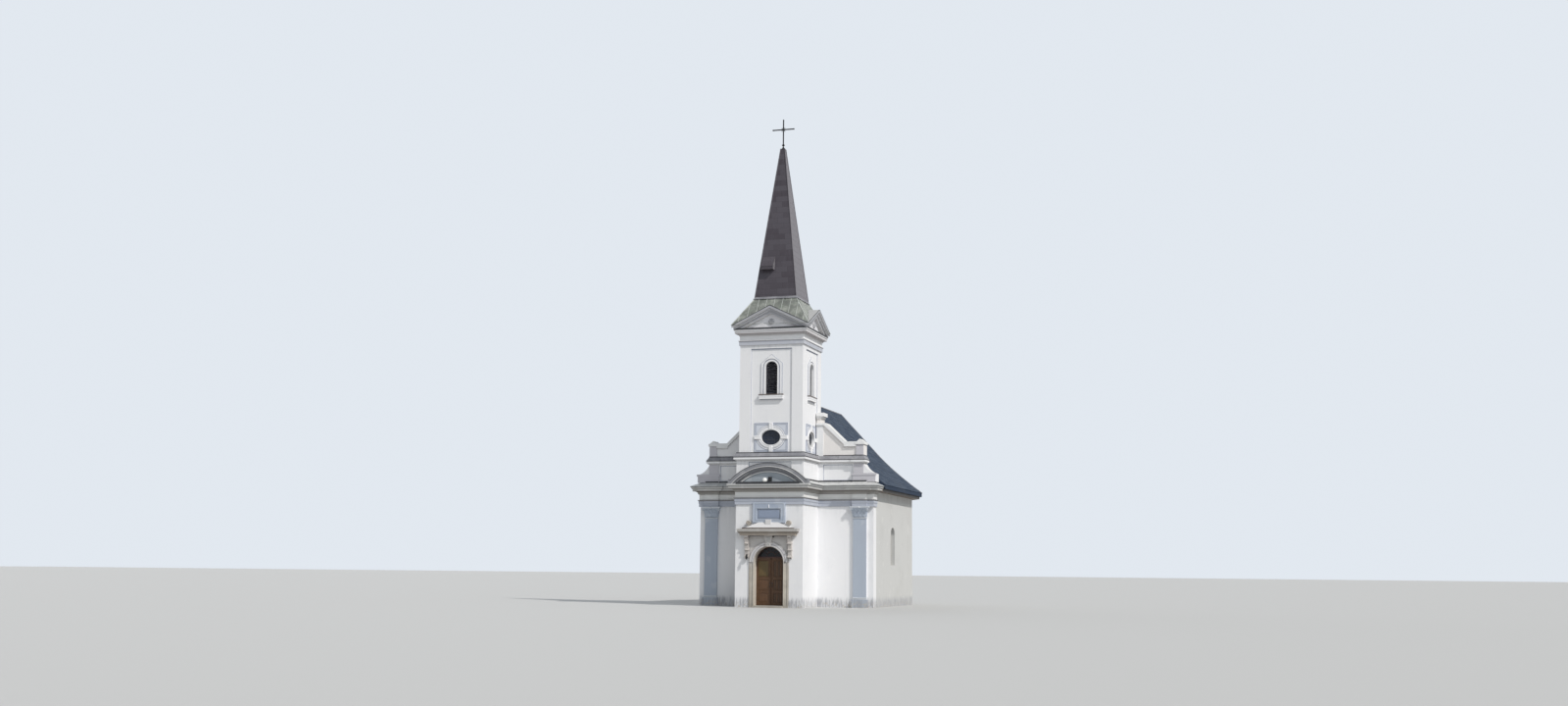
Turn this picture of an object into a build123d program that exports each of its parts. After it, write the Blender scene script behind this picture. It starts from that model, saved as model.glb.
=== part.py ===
"""A small rendered church with a square front tower, a slim spire and a hipped nave roof.

Millimetres. X runs along the facade, Y into the building, Z up from the ground. The origin is on
the ground in the middle of the church's length and width.
"""

import os
from math import hypot

from build123d import *

os.makedirs("parts", exist_ok=True)

# Tower plan
tower_width = 3600.0
tower_wall = 700.0
tower_projection = 2720.0
belfry_setback = 95.0
belfry_wall = 500.0

# Heights of the lower storey, stacked from the ground
order_height = 5200.0
architrave_height = 360.0
frieze_height = 310.0
cornice_bed = 150.0
corona_height = 230.0
capping_height = 230.0
capping_edge = 35.0
attic_height = 980.0
string_height = 370.0

# Heights of the belfry, stacked on the lower storey
shaft_height = 5616.0
band_height = 254.0
belfry_frieze = 250.0
belfry_corona = 300.0

# Facade wings, from the corner inward
facade_half = 4766.0
facade_wall = 700.0
strip_width = 339.0
strip_recess = 100.0
pilaster_width = 697.0
pilaster_depth = 120.0
capital_height = 580.0
capital_flare = 150.0
abacus_height = 90.0
base_height = 420.0
base_flare = 70.0

# Nave and apse
nave_setback = 66.0
nave_wall = 600.0
nave_length = 9500.0
apse_half = 1900.0
apse_length = 4800.0
wall_head = 6000.0

# Roof of the nave and apse
eave_rise = 330.0
ridge_rise = 4800.0
ridge_beyond = 1600.0
eave_overhang = 550.0
bend_share = 0.667
bend_rise = 1200.0
roof_depth = 200.0
flare_steps = 5
eaves_depth = 150.0
eaves_shelf = 420.0

# Floors and doorway
floor_height = 100.0
step_reach = 260.0
door_half = 785.0
door_spring = 2285.0
jamb_depth = 400.0
rebate = 120.0
leaf_rise = 200.0
leaf_thickness = 60.0
leaf_lap = 40.0
leaf_gap = 10.0
leaf_clearance = 6.0
stile = 110.0
panel_sink = 18.0
panel_shares = (0.28, 0.30, 0.42)
transom_height = 65.0
frame_depth = 60.0
fanlight_bar = 45.0
glass = 12.0

# Door hinges and handles
hinge_offset = 20.0
hinge_pin_radius = 9.0
hinge_clearance = 0.3
knuckle_radius = 16.0
knuckle_height = 60.0
strap_length = 260.0
strap_thickness = 6.0
bracket_height = 22.0
hinge_shares = (0.10, 0.48, 0.86)
handle_height = 1150.0
handle_radius = 28.0
handle_neck = 10.0
handle_reach = 55.0
handle_thickness = 18.0

# Arch from the entrance hall to the nave
hall_arch_half = 850.0
hall_arch_spring = 2300.0

# Portal, hood and brackets
jamb_width = 265.0
portal_depth = 40.0
crown_cover = 550.0
archivolt_width = 240.0
archivolt_depth = 30.0
keystone_foot = 120.0
keystone_head = 225.0
keystone_depth = 70.0
hood_side = 550.0
hood_reach = 420.0
hood_thickness = 330.0
hood_step = 50.0
hood_bed = 120.0
hood_cap_side = 270.0
hood_cap_reach = 370.0
hood_cap_rise = 360.0
hood_cap_bend = 0.62
hood_cap_top = 480.0
knob_half = 150.0
knob_depth = 190.0
knob_height = 130.0
console_width = 190.0
console_drop = 1150.0
console_reach = 280.0
console_scroll = 80.0

# Plaque over the hood
plaque_half = 870.0
plaque_lift = 310.0
plaque_lap = 110.0
plaque_border = 230.0
plaque_depth = 110.0
plaque_sink = 45.0
volute_gap = 75.0
volute_radius = 125.0
volute_depth = 150.0

# Projections of the main cornice, its capping and the string course
architrave_reach = 70.0
frieze_reach = 40.0
cornice_reach = 390.0
capping_reach = 430.0
string_reach = 120.0

# Curved pediment over the tower front
segment_half = 2050.0
segment_lift = 150.0
segment_rise = 895.0
segment_band = 440.0
segment_reach = 340.0
segment_step = 90.0
segment_field_depth = 120.0
segment_heel = 450.0

# Sunk panels of the attic zone
panel_depth = 50.0
panel_margin = 80.0
attic_panel_half = 1150.0
wing_panel_inset = 270.0
wing_panel_width = 1590.0

# Belfry panels, windows and round windows
belfry_panel_half = 1110.0
belfry_panel_lift = 30.0
belfry_panel_drop = 186.0
belfry_panel_depth = 60.0
louvre_half = 325.0
louvre_lift = 3040.0
louvre_height = 1390.0
louvre_setback = 150.0
louvre_frame = 45.0
louvre_depth = 110.0
slat_pitch = 125.0
slat_thickness = 16.0
slat_angle = 35.0
surround_width = 235.0
surround_depth = 45.0
groove_offset = 80.0
groove_width = 60.0
groove_depth = 22.0
shoulder_rise = 220.0
hood_mould_rise = 355.0
sill_half = 640.0
sill_height = 250.0
sill_reach = 135.0
back_sill_rise = 310.0
oculus_lift = 810.0
oculus_half_width = 515.0
oculus_half_height = 390.0
oculus_ring = 130.0
oculus_moulding = 250.0
oculus_plate_margin = 370.0
oculus_key = 200.0
oculus_key_reach = 400.0
oculus_plate_depth = 15.0
oculus_setback = 150.0

# Cornice and pediments of the belfry
band_reach = 60.0
top_cornice_reach = 280.0
pediment_reach = 380.0
pediment_end = 220.0
pediment_rise = 1000.0
pediment_band = 420.0
tympanum_recess = 320.0
tympanum_thickness = 150.0
boss_radius = 90.0
boss_depth = 40.0

# Skirt roof, spire, hatch and cross
skirt_lip = 15.0
skirt_height = 1520.0
skirt_thickness = 120.0
spire_half = 1130.0
spire_height = 8300.0
spire_tip_half = 100.0
sheet_thickness = 80.0
hatch_left = -800.0
hatch_width = 680.0
hatch_lift = 1530.0
hatch_height = 750.0
hatch_reach = 280.0
cross_height = 1630.0
cross_drop = 550.0
cross_span = 1220.0
cross_bar = 55.0
finial_radius = 90.0
finial_lift = 220.0

# Gable sweeps, piers and pedestals of the facade
pier_width = 400.0
neck_inset = 160.0
neck_band = 50.0
strip_inset = 25.0
strip_depth = 30.0
pier_shoulder = 1630.0
pier_rise = 370.0
pier_cap = 290.0
shoulder_band = 110.0
pedestal_inset = 506.0
pedestal_width = 520.0
pedestal_rise = 600.0
pedestal_cap = 130.0
pedestal_crown = 160.0
pedestal_step = 120.0
pedestal_reach = 50.0
sweep_ledge = 530.0
ledge_band = 110.0
coping_depth = 150.0
coping_reach = 90.0
ramp_overhang = 134.0
ramp_foot = 420.0
ramp_head = 970.0
pier_reach = 60.0
attic_base_height = 330.0
attic_base_reach = 50.0
attic_base_cap = 110.0

# Nave windows
nave_window_y = 4700.0
nave_window_half = 480.0
nave_window_sill = 2200.0
nave_window_height = 1560.0
window_frame = 70.0
window_frame_depth = 90.0
window_setback = 200.0

# Lamps
lantern_out = 60.0
lantern_height = 2400.0
lantern_radius = 55.0
lantern_body = 280.0
lantern_arm = 250.0
lantern_bracket = 30.0
lamp_radius = 165.0
lamp_height = 260.0
lamp_housing = 200.0

# Plan worked out from the sizes above
tower_half = tower_width / 2
belfry_half = tower_half - belfry_setback
nave_half = facade_half - nave_setback
building_length = tower_projection + nave_length + apse_length
model_length = hood_reach + building_length + eave_overhang
face_y = hood_reach - model_length / 2
axis_y = face_y + tower_half
tower_back_y = face_y + tower_width
facade_y = face_y + tower_projection
nave_start_y = facade_y + facade_wall
corner_y = facade_y + nave_length
apse_end_y = corner_y + apse_length
ridge_end_y = corner_y + ridge_beyond
belfry_face_y = axis_y - belfry_half
belfry_back_y = axis_y + belfry_half
pilaster_outer = facade_half - strip_width
pilaster_inner = pilaster_outer - pilaster_width
pedestal_outer = facade_half - pedestal_inset
pedestal_inner = pedestal_outer - pedestal_width
pier_outer = belfry_half + pier_width
neck_outer = pier_outer - neck_inset
strip_outer = pier_outer - strip_inset
upper_inner = pedestal_inner + pedestal_step
portal_half = door_half + jamb_width
hood_half = portal_half + hood_side
leaf_front_y = face_y + jamb_depth + leaf_clearance
leaf_back_y = leaf_front_y + leaf_thickness
hinge_x = door_half + leaf_lap + hinge_offset
hinge_y = leaf_back_y + hinge_offset / 2

# Heights worked out from the sizes above
architrave_top = order_height + architrave_height
frieze_top = architrave_top + frieze_height
corona_bottom = frieze_top + cornice_bed
corona_top = corona_bottom + corona_height
capping_top = corona_top + capping_height
string_bottom = capping_top + attic_height
tower_top = string_bottom + string_height
band_bottom = tower_top + shaft_height
band_top = band_bottom + band_height
top_bed = band_top + belfry_frieze
belfry_top = top_bed + belfry_corona
skirt_foot = belfry_top + pediment_end + skirt_lip
spire_bottom = skirt_foot + skirt_height
spire_top = spire_bottom + spire_height
cross_top = spire_top + cross_height
eave_height = wall_head + eave_rise
ridge_height = eave_height + ridge_rise
louvre_sill = tower_top + louvre_lift
louvre_spring = louvre_sill + louvre_height
louvre_top = louvre_spring + louvre_half
oculus_height = tower_top + oculus_lift
shoulder_height = tower_top + pier_shoulder
pier_top = shoulder_height + pier_rise
pedestal_top = tower_top + pedestal_rise
hood_bottom = door_spring + door_half + crown_cover
hood_top = hood_bottom + hood_thickness
leaf_bottom = floor_height + leaf_clearance
leaf_top = door_spring + leaf_rise


def nave_outline(outward):
    """Corners of the nave and apse walls, moved outward by a distance, from front right to front left."""
    slant = hypot(apse_length, nave_half - apse_half)
    normal_x = apse_length / slant
    normal_y = (nave_half - apse_half) / slant
    shoulder = 1 + normal_x
    end = 1 + normal_y
    right = [
        (nave_half + outward, nave_start_y),
        (nave_half + outward, corner_y + outward * normal_y / shoulder),
        (apse_half + outward * normal_x / end, apse_end_y + outward),
    ]
    left = [(-x, y) for x, y in reversed(right)]
    return right + left


def plan_prism(corners, bottom, top, mode=Mode.ADD):
    """Stands a prism on a plan outline."""
    with BuildSketch(Plane.XY.offset(bottom)) as outline:
        with BuildLine():
            Polyline(*corners, close=True)
        make_face()
    extrude(outline.sketch, amount=top - bottom, mode=mode)


def slab(x_range, y_range, z_range, mode=Mode.ADD):
    """A rectangular block between three pairs of planes, each pair in either order."""
    x_low, x_high = sorted(x_range)
    y_low, y_high = sorted(y_range)
    plan_prism([(x_low, y_low), (x_high, y_low), (x_high, y_high), (x_low, y_high)], *sorted(z_range), mode)


def wall_plane(y):
    """A vertical plane across the building, with its X along the facade and its Y up, facing the back."""
    return Plane(origin=(0, y, 0), x_dir=(-1, 0, 0), z_dir=(0, 1, 0))


def arched_block(plane, half, bottom, spring, depth, mode=Mode.SUBTRACT):
    """A round-headed block or opening: the plane's Y is up and its X runs along the wall."""
    with BuildSketch(plane) as outline:
        with BuildLine():
            Polyline((-half, spring), (-half, bottom), (half, bottom), (half, spring))
            ThreePointArc((half, spring), (0, spring + half), (-half, spring))
        make_face()
    extrude(outline.sketch, amount=depth, mode=mode)


def segment_sketch(radius, centre, floor):
    """The part of a disc above a height, on the current sketch."""
    with Locations((0, centre)):
        Circle(radius)
    with Locations((0, floor)):
        Rectangle(4 * radius, 4 * radius, align=(Align.CENTER, Align.MAX), mode=Mode.SUBTRACT)


def side_profile(x_range, points, mode=Mode.ADD):
    """A block between two X planes from a profile of (distance in front of the tower face, height)."""
    start, finish = sorted(x_range)
    with BuildSketch(Plane(origin=(start, face_y, 0), x_dir=(0, -1, 0), z_dir=(-1, 0, 0))) as outline:
        with BuildLine():
            Polyline(*points, close=True)
        make_face()
    extrude(outline.sketch, amount=start - finish, mode=mode)


def run_moulding(path, profile):
    """Carries a profile of (outward, height) points along a plan path with mitred corners.

    The outer side is on the left of the path.
    """
    start = Vector(*path[0])
    direction = (Vector(*path[1]) - start).normalized()
    outward = Vector(0, 0, 1).cross(direction)
    with BuildLine() as run:
        Polyline(*[(x, y, 0) for x, y in path])
    with BuildSketch(Plane(origin=start, x_dir=outward, z_dir=direction)) as section:
        with BuildLine():
            Polyline(*profile, close=True)
        make_face()
    sweep(section.sketch, path=run.wires()[0], transition=Transition.RIGHT)


def square_body(levels, mode=Mode.ADD):
    """A flat-faced body round the tower axis, square in plan, through (half width, height) levels."""
    outline = levels + [(-half, height) for half, height in reversed(levels)]
    widest = max(half for half, height in levels)
    with BuildPart() as body:
        for along, out in (((1, 0, 0), (0, -1, 0)), ((0, 1, 0), (1, 0, 0))):
            with BuildSketch(Plane(origin=(0, axis_y, 0), x_dir=along, z_dir=out)):
                with BuildLine():
                    Polyline(*outline, close=True)
                make_face()
            extrude(amount=widest, both=True, mode=Mode.ADD if out[1] else Mode.INTERSECT)
    add(body.part, mode=mode)


# Floors
with BuildPart() as tower_floor:
    slab((tower_wall - tower_half, tower_half - tower_wall), (face_y + tower_wall, tower_back_y - tower_wall),
         (0, floor_height))
tower_floor.part.label = "tower_floor"
export_step(tower_floor.part, "parts/tower_floor.step")

with BuildPart() as nave_floor:
    plan_prism(nave_outline(-nave_wall), 0, floor_height)
    slab((-tower_half, tower_half), (facade_y, tower_back_y), (0, floor_height), Mode.SUBTRACT)
    slab((-hall_arch_half, hall_arch_half), (tower_back_y - tower_wall, tower_back_y), (0, floor_height))
nave_floor.part.label = "nave_floor"
export_step(nave_floor.part, "parts/nave_floor.step")

with BuildPart() as threshold:
    slab((-door_half, door_half), (face_y - step_reach, face_y + jamb_depth), (0, floor_height))
    slab((-door_half - rebate, door_half + rebate), (face_y + jamb_depth, face_y + tower_wall),
         (0, floor_height))
threshold.part.label = "threshold"
export_step(threshold.part, "parts/threshold.step")

# Tower front, split beside and over the doorway
with BuildPart() as tower_front_piers:
    for side in (-1, 1):
        outer = side * tower_half
        reveal = side * door_half
        rebated = side * (door_half + rebate)
        plan_prism([(outer, face_y), (reveal, face_y), (reveal, face_y + jamb_depth),
                    (rebated, face_y + jamb_depth), (rebated, face_y + tower_wall),
                    (outer, face_y + tower_wall)], 0, door_spring)
tower_front_piers.part.label = "tower_front_piers"
export_step(tower_front_piers.part, "parts/tower_front_piers.step")

with BuildPart() as tower_front_over:
    slab((-tower_half, tower_half), (face_y, face_y + tower_wall), (door_spring, tower_top))
    for start, finish, half in ((0, jamb_depth, door_half), (jamb_depth, tower_wall, door_half + rebate)):
        with BuildSketch(wall_plane(face_y + start)):
            segment_sketch(half, door_spring, door_spring)
        extrude(amount=finish - start, mode=Mode.SUBTRACT)
    slab((-attic_panel_half, attic_panel_half), (face_y, face_y + panel_depth),
         (capping_top, string_bottom - panel_margin), Mode.SUBTRACT)
tower_front_over.part.label = "tower_front_over"
export_step(tower_front_over.part, "parts/tower_front_over.step")

# Tower side walls and the back wall with its arch to the nave
for name, side in (("left", -1), ("right", 1)):
    with BuildPart() as tower_side:
        slab((side * (tower_half - tower_wall), side * tower_half),
             (face_y + tower_wall, tower_back_y - tower_wall), (0, tower_top))
    tower_side.part.label = f"tower_wall_{name}"
    export_step(tower_side.part, f"parts/tower_wall_{name}.step")

with BuildPart() as tower_back_wall:
    slab((-tower_half, tower_half), (tower_back_y - tower_wall, tower_back_y), (0, tower_top))
    arched_block(wall_plane(tower_back_y - tower_wall), hall_arch_half, 0, hall_arch_spring, tower_wall)
tower_back_wall.part.label = "tower_back_wall"
export_step(tower_back_wall.part, "parts/tower_back_wall.step")

# Facade wings with their ramped and swept outline, the corner strip set back
ramp_outer = facade_half + ramp_overhang
for name, side in (("left", -1), ("right", 1)):
    with BuildPart() as facade_wing:
        with BuildSketch(Plane(origin=(0, nave_start_y, 0), x_dir=(1, 0, 0), z_dir=(0, -1, 0))):
            with BuildLine():
                Polyline((side * tower_half, 0), (side * facade_half, 0), (side * facade_half, capping_top),
                         (side * ramp_outer, capping_top), (side * ramp_outer, capping_top + ramp_foot))
                ThreePointArc((side * ramp_outer, capping_top + ramp_foot),
                              (side * (ramp_outer - 0.62 * (ramp_outer - pedestal_outer)),
                               capping_top + ramp_foot + 0.4 * (ramp_head - ramp_foot)),
                              (side * pedestal_outer, capping_top + ramp_head))
                Polyline((side * pedestal_outer, capping_top + ramp_head),
                         (side * pedestal_outer, pedestal_top),
                         (side * (pedestal_inner - sweep_ledge), pedestal_top),
                         (side * pier_outer, shoulder_height), (side * neck_outer, shoulder_height),
                         (side * neck_outer, pier_top), (side * belfry_half, pier_top),
                         (side * belfry_half, tower_top),
                         (side * tower_half, tower_top), (side * tower_half, 0))
            make_face()
        extrude(amount=facade_wall)
        slab((side * pilaster_outer, side * facade_half), (facade_y, facade_y + strip_recess),
             (0, order_height), Mode.SUBTRACT)
        panel_inner = tower_half + wing_panel_inset
        slab((side * panel_inner, side * (panel_inner + wing_panel_width)),
             (facade_y, facade_y + panel_depth),
             (capping_top + panel_margin, string_bottom - panel_margin), Mode.SUBTRACT)
    facade_wing.part.label = f"facade_{name}"
    export_step(facade_wing.part, f"parts/facade_{name}.step")

# Corner pilasters with their bases, and the flared capitals
pilaster_front = facade_y - pilaster_depth
capital_bottom = order_height - capital_height
with BuildPart() as pilasters:
    for side in (-1, 1):
        slab((side * pilaster_inner, side * pilaster_outer), (pilaster_front, facade_y), (0, capital_bottom))
        slab((side * (pilaster_inner - base_flare), side * (pilaster_outer + base_flare)),
             (pilaster_front - base_flare, facade_y), (0, base_height))
pilasters.part.label = "pilasters"
export_step(pilasters.part, "parts/pilasters.step")

capital_middle = (pilaster_inner + pilaster_outer) / 2
with BuildPart() as capital:
    foot = pilaster_width / 2
    head = foot + capital_flare
    bell_top = order_height - abacus_height
    with BuildSketch(Plane(origin=(capital_middle, facade_y, 0), x_dir=(1, 0, 0), z_dir=(0, -1, 0))):
        with BuildLine():
            Polyline((-foot, capital_bottom), (foot, capital_bottom),
                     (foot + capital_flare / 4, capital_bottom + capital_height / 2),
                     (head, bell_top), (head, order_height), (-head, order_height), (-head, bell_top),
                     (-foot - capital_flare / 4, capital_bottom + capital_height / 2), close=True)
        make_face()
    extrude(amount=pilaster_depth + capital_flare)
    with BuildSketch(Plane(origin=(capital_middle, facade_y, 0), x_dir=(0, -1, 0), z_dir=(-1, 0, 0))):
        with BuildLine():
            Polyline((0, capital_bottom), (pilaster_depth, capital_bottom),
                     (pilaster_depth + capital_flare / 4, capital_bottom + capital_height / 2),
                     (pilaster_depth + capital_flare, bell_top),
                     (pilaster_depth + capital_flare, order_height), (0, order_height), close=True)
        make_face()
    extrude(amount=head, both=True, mode=Mode.INTERSECT)

with BuildPart() as capitals:
    add(capital.part)
    mirror(about=Plane.YZ)
capitals.part.label = "capitals"
export_step(capitals.part, "parts/capitals.step")

# Main cornice, one run round both wings and the tower, breaking forward over the pilasters
right_run = [
    (facade_half, nave_start_y), (facade_half, facade_y), (pilaster_outer, facade_y),
    (pilaster_outer, pilaster_front), (pilaster_inner, pilaster_front), (pilaster_inner, facade_y),
    (tower_half, facade_y), (tower_half, face_y),
]
cornice_path = right_run + [(-x, y) for x, y in reversed(right_run)]
with BuildPart() as main_cornice:
    run_moulding(cornice_path, [
        (0, order_height), (architrave_reach - 20, order_height),
        (architrave_reach - 20, order_height + architrave_height / 2),
        (architrave_reach, order_height + architrave_height / 2),
        (architrave_reach, architrave_top - 60), (architrave_reach + 45, architrave_top - 20),
        (architrave_reach + 45, architrave_top), (frieze_reach, architrave_top),
        (frieze_reach, frieze_top - 30), (frieze_reach + 50, frieze_top),
        (frieze_reach + 90, corona_bottom - cornice_bed / 3), (cornice_reach - 160, corona_bottom),
        (cornice_reach - 60, corona_bottom), (cornice_reach - 60, corona_top - corona_height * 0.55),
        (cornice_reach - 20, corona_top - corona_height * 0.45), (cornice_reach, corona_top - 60),
        (cornice_reach, corona_top), (0, corona_top)])
main_cornice.part.label = "main_cornice"
export_step(main_cornice.part, "parts/main_cornice.step")

# Sheet capping of the cornice along the wings and the tower's sides
with BuildPart() as cornice_capping:
    for run in (right_run, [(-x, y) for x, y in reversed(right_run)]):
        run_moulding(run, [
            (0, corona_top), (capping_reach, corona_top), (capping_reach, corona_top + capping_edge),
            (0, capping_top)])
cornice_capping.part.label = "cornice_capping"
export_step(cornice_capping.part, "parts/cornice_capping.step")

# Curved pediment over the tower front: stepped arched bands with level heels, and the sunk field
segment_foot = corona_top + segment_lift
segment_radius = (segment_half ** 2 + segment_rise ** 2) / (2 * segment_rise)
segment_centre = segment_foot + segment_rise - segment_radius
with BuildPart() as segmental_pediment:
    for step in (0, 1, 2):
        depth = segment_reach - step * segment_step
        inner_radius = segment_radius - segment_band * (0.4 + 0.3 * step)
        with BuildSketch(wall_plane(face_y - depth)):
            with Locations((0, segment_centre)):
                Circle(segment_radius)
                Circle(inner_radius, mode=Mode.SUBTRACT)
            with Locations((0, corona_top)):
                Rectangle(4 * segment_radius, 4 * segment_radius, align=(Align.CENTER, Align.MAX),
                          mode=Mode.SUBTRACT)
            for side in (-1, 1):
                with BuildLine():
                    heel = tower_half + depth
                    Polyline((side * heel, corona_top), (side * heel, capping_top),
                             (side * (heel - segment_heel), capping_top),
                             (side * (heel - segment_heel), corona_top), close=True)
                make_face()
            with Locations((0, segment_centre)):
                Circle(inner_radius, mode=Mode.SUBTRACT)
        extrude(amount=depth)
    with BuildSketch(wall_plane(face_y - segment_field_depth)):
        segment_sketch(segment_radius - segment_band / 2, segment_centre, corona_top)
    extrude(amount=segment_field_depth)
segmental_pediment.part.label = "segmental_pediment"
export_step(segmental_pediment.part, "parts/segmental_pediment.step")

# String course round the tower and along the wings
pier_front = facade_y - pier_reach
string_run = [
    (pedestal_outer, nave_start_y), (pedestal_outer, pier_front), (pedestal_inner, pier_front),
    (pedestal_inner, facade_y), (tower_half, facade_y), (tower_half, face_y),
]
with BuildPart() as string_course:
    run_moulding(string_run + [(-x, y) for x, y in reversed(string_run)], [
        (0, string_bottom), (string_reach / 2, string_bottom),
        (string_reach / 2, string_bottom + string_height / 8),
        (string_reach, string_bottom + string_height / 4), (string_reach, string_bottom + string_height / 2),
        (0, tower_top)])
string_course.part.label = "string_course"
export_step(string_course.part, "parts/string_course.step")

# Piers of the attic and of the gable over each pilaster, on a moulded base that carries on under the ramp
with BuildPart() as attic_piers:
    for side in (-1, 1):
        for inner, low, high in ((pedestal_inner, capping_top, tower_top), (upper_inner, tower_top, pedestal_top)):
            slab((side * inner, side * pedestal_outer), (pier_front, facade_y), (low, high))
        base_inner = pedestal_inner - attic_base_reach
        base_top = capping_top + attic_base_height
        slab((side * base_inner, side * ramp_outer), (pier_front - attic_base_reach / 2, facade_y),
             (capping_top, base_top))
        slab((side * (base_inner - attic_base_reach), side * (ramp_outer + attic_base_reach)),
             (pier_front - attic_base_reach, facade_y), (base_top, base_top + attic_base_cap))
    add(string_course.part, mode=Mode.SUBTRACT)
    add(cornice_capping.part, mode=Mode.SUBTRACT)
attic_piers.part.label = "attic_piers"
export_step(attic_piers.part, "parts/attic_piers.step")

# Belfry walls: front and back run the full width, the sides stand between them. The wall over the
# nave has a raised window and no round window, because the roof stands against it.
tower_axis = Axis((0, axis_y, 0), (0, 0, 1))
quarter_turns = {"front": 0, "right": 90, "back": 180, "left": 270}
sills = {name: louvre_sill for name in quarter_turns}
sills["back"] = max(louvre_sill, ridge_height + back_sill_rise)
panel_bottoms = {name: tower_top + belfry_panel_lift for name in quarter_turns}
panel_bottoms["back"] = max(panel_bottoms["back"], ridge_height)
for name, turn in quarter_turns.items():
    half = belfry_half if name in ("front", "back") else belfry_half - belfry_wall
    with BuildPart() as belfry_wall_plain:
        slab((-half, half), (belfry_face_y, belfry_face_y + belfry_wall), (tower_top, belfry_top))
        slab((-belfry_panel_half, belfry_panel_half), (belfry_face_y, belfry_face_y + belfry_panel_depth),
             (panel_bottoms[name], band_bottom - belfry_panel_drop), Mode.SUBTRACT)
        arched_block(wall_plane(belfry_face_y), louvre_half, sills[name], louvre_spring, belfry_wall)
        if name != "back":
            with BuildSketch(wall_plane(belfry_face_y)):
                with Locations((0, oculus_height)):
                    Ellipse(oculus_half_width, oculus_half_height)
            extrude(amount=belfry_wall, mode=Mode.SUBTRACT)
    with BuildPart() as belfry_side:
        add(belfry_wall_plain.part.rotate(tower_axis, turn))
    belfry_side.part.label = f"belfry_{name}"
    export_step(belfry_side.part, f"parts/belfry_{name}.step")

# Belfry windows: grooved surrounds with an ogee hood and a sill, and louvres in a frame
panel_y = belfry_face_y + belfry_panel_depth
louvre_y = belfry_face_y + louvre_setback
surround_half = louvre_half + surround_width
window_surrounds = []
louvre_panels = []
for name, turn in quarter_turns.items():
    sill = sills[name]
    shoulder = louvre_spring + shoulder_rise
    hood_peak = louvre_top + hood_mould_rise
    with BuildPart() as window_surround:
        with BuildSketch(wall_plane(panel_y)):
            with BuildLine():
                Polyline((-surround_half, shoulder), (-surround_half, sill), (surround_half, sill),
                         (surround_half, shoulder))
                Spline((surround_half, shoulder), (surround_half / 2, louvre_top + hood_mould_rise / 3),
                       (0, hood_peak))
                Spline((0, hood_peak), (-surround_half / 2, louvre_top + hood_mould_rise / 3),
                       (-surround_half, shoulder))
            make_face()
        extrude(amount=-surround_depth)
        groove_plane = wall_plane(panel_y - surround_depth)
        groove_half = louvre_half + groove_offset
        arched_block(groove_plane, groove_half + groove_width, sill, louvre_spring, groove_depth)
        arched_block(groove_plane, groove_half, sill, louvre_spring, groove_depth, Mode.ADD)
        arched_block(groove_plane, louvre_half, sill, louvre_spring, surround_depth)
        slab((-sill_half, sill_half), (panel_y - sill_reach, panel_y), (sill - sill_height, sill))
    window_surrounds.append(window_surround.part.rotate(tower_axis, turn))

    with BuildPart() as louvre_panel:
        arched_block(wall_plane(louvre_y), louvre_half, sill, louvre_spring, louvre_depth, Mode.ADD)
        arched_block(wall_plane(louvre_y), louvre_half - louvre_frame, sill + louvre_frame, louvre_spring,
                     louvre_depth)
        slat_count = int((louvre_top - sill - 2 * louvre_frame) / slat_pitch)
        for index in range(slat_count):
            height = sill + louvre_frame + (index + 0.5) * slat_pitch
            over = max(0.0, height + slat_pitch / 2 - louvre_spring)
            reach = (louvre_half ** 2 - over ** 2) ** 0.5 - louvre_frame / 2
            middle = (0, louvre_y + louvre_depth / 2, height)
            with BuildSketch(Plane(origin=middle, x_dir=(0, 1, 0), z_dir=(1, 0, 0))):
                Rectangle(louvre_depth, slat_thickness, rotation=slat_angle)
            extrude(amount=reach, both=True)
    louvre_panels.append(louvre_panel.part.rotate(tower_axis, turn))

# Round windows: a plate, a wide moulded ring and a raised inner ring with four keys
with BuildPart() as oculus_surround:
    plate_half = oculus_half_width + oculus_key_reach
    plate_rise = oculus_half_height + oculus_plate_margin
    with BuildSketch(wall_plane(panel_y)):
        with Locations((0, oculus_height)):
            Rectangle(2 * plate_half, 2 * plate_rise)
            Ellipse(oculus_half_width, oculus_half_height, mode=Mode.SUBTRACT)
    extrude(amount=-oculus_plate_depth)
    for margin, depth in ((oculus_moulding, 2 * oculus_plate_depth), (oculus_ring, 3 * oculus_plate_depth)):
        with BuildSketch(wall_plane(panel_y)):
            with Locations((0, oculus_height)):
                Ellipse(oculus_half_width + margin, oculus_half_height + margin)
                Ellipse(oculus_half_width, oculus_half_height, mode=Mode.SUBTRACT)
        extrude(amount=-depth)
    with BuildSketch(wall_plane(panel_y)):
        with Locations((0, oculus_height)):
            Rectangle(oculus_key, 2 * plate_rise)
            Rectangle(2 * plate_half, oculus_key)
            Ellipse(oculus_half_width, oculus_half_height, mode=Mode.SUBTRACT)
    extrude(amount=-4 * oculus_plate_depth)

with BuildPart() as oculus_pane:
    with BuildSketch(wall_plane(belfry_face_y + oculus_setback)):
        with Locations((0, oculus_height)):
            Ellipse(oculus_half_width, oculus_half_height)
    extrude(amount=glass)

with BuildPart() as belfry_surrounds:
    for name, surround in zip(quarter_turns, window_surrounds):
        add(surround)
        if name != "back":
            add(oculus_surround.part.rotate(tower_axis, quarter_turns[name]))
belfry_surrounds.part.label = "belfry_surrounds"
export_step(belfry_surrounds.part, "parts/belfry_surrounds.step")

with BuildPart() as belfry_louvres:
    for louvres in louvre_panels:
        add(louvres)
belfry_louvres.part.label = "belfry_louvres"
export_step(belfry_louvres.part, "parts/belfry_louvres.step")

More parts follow.
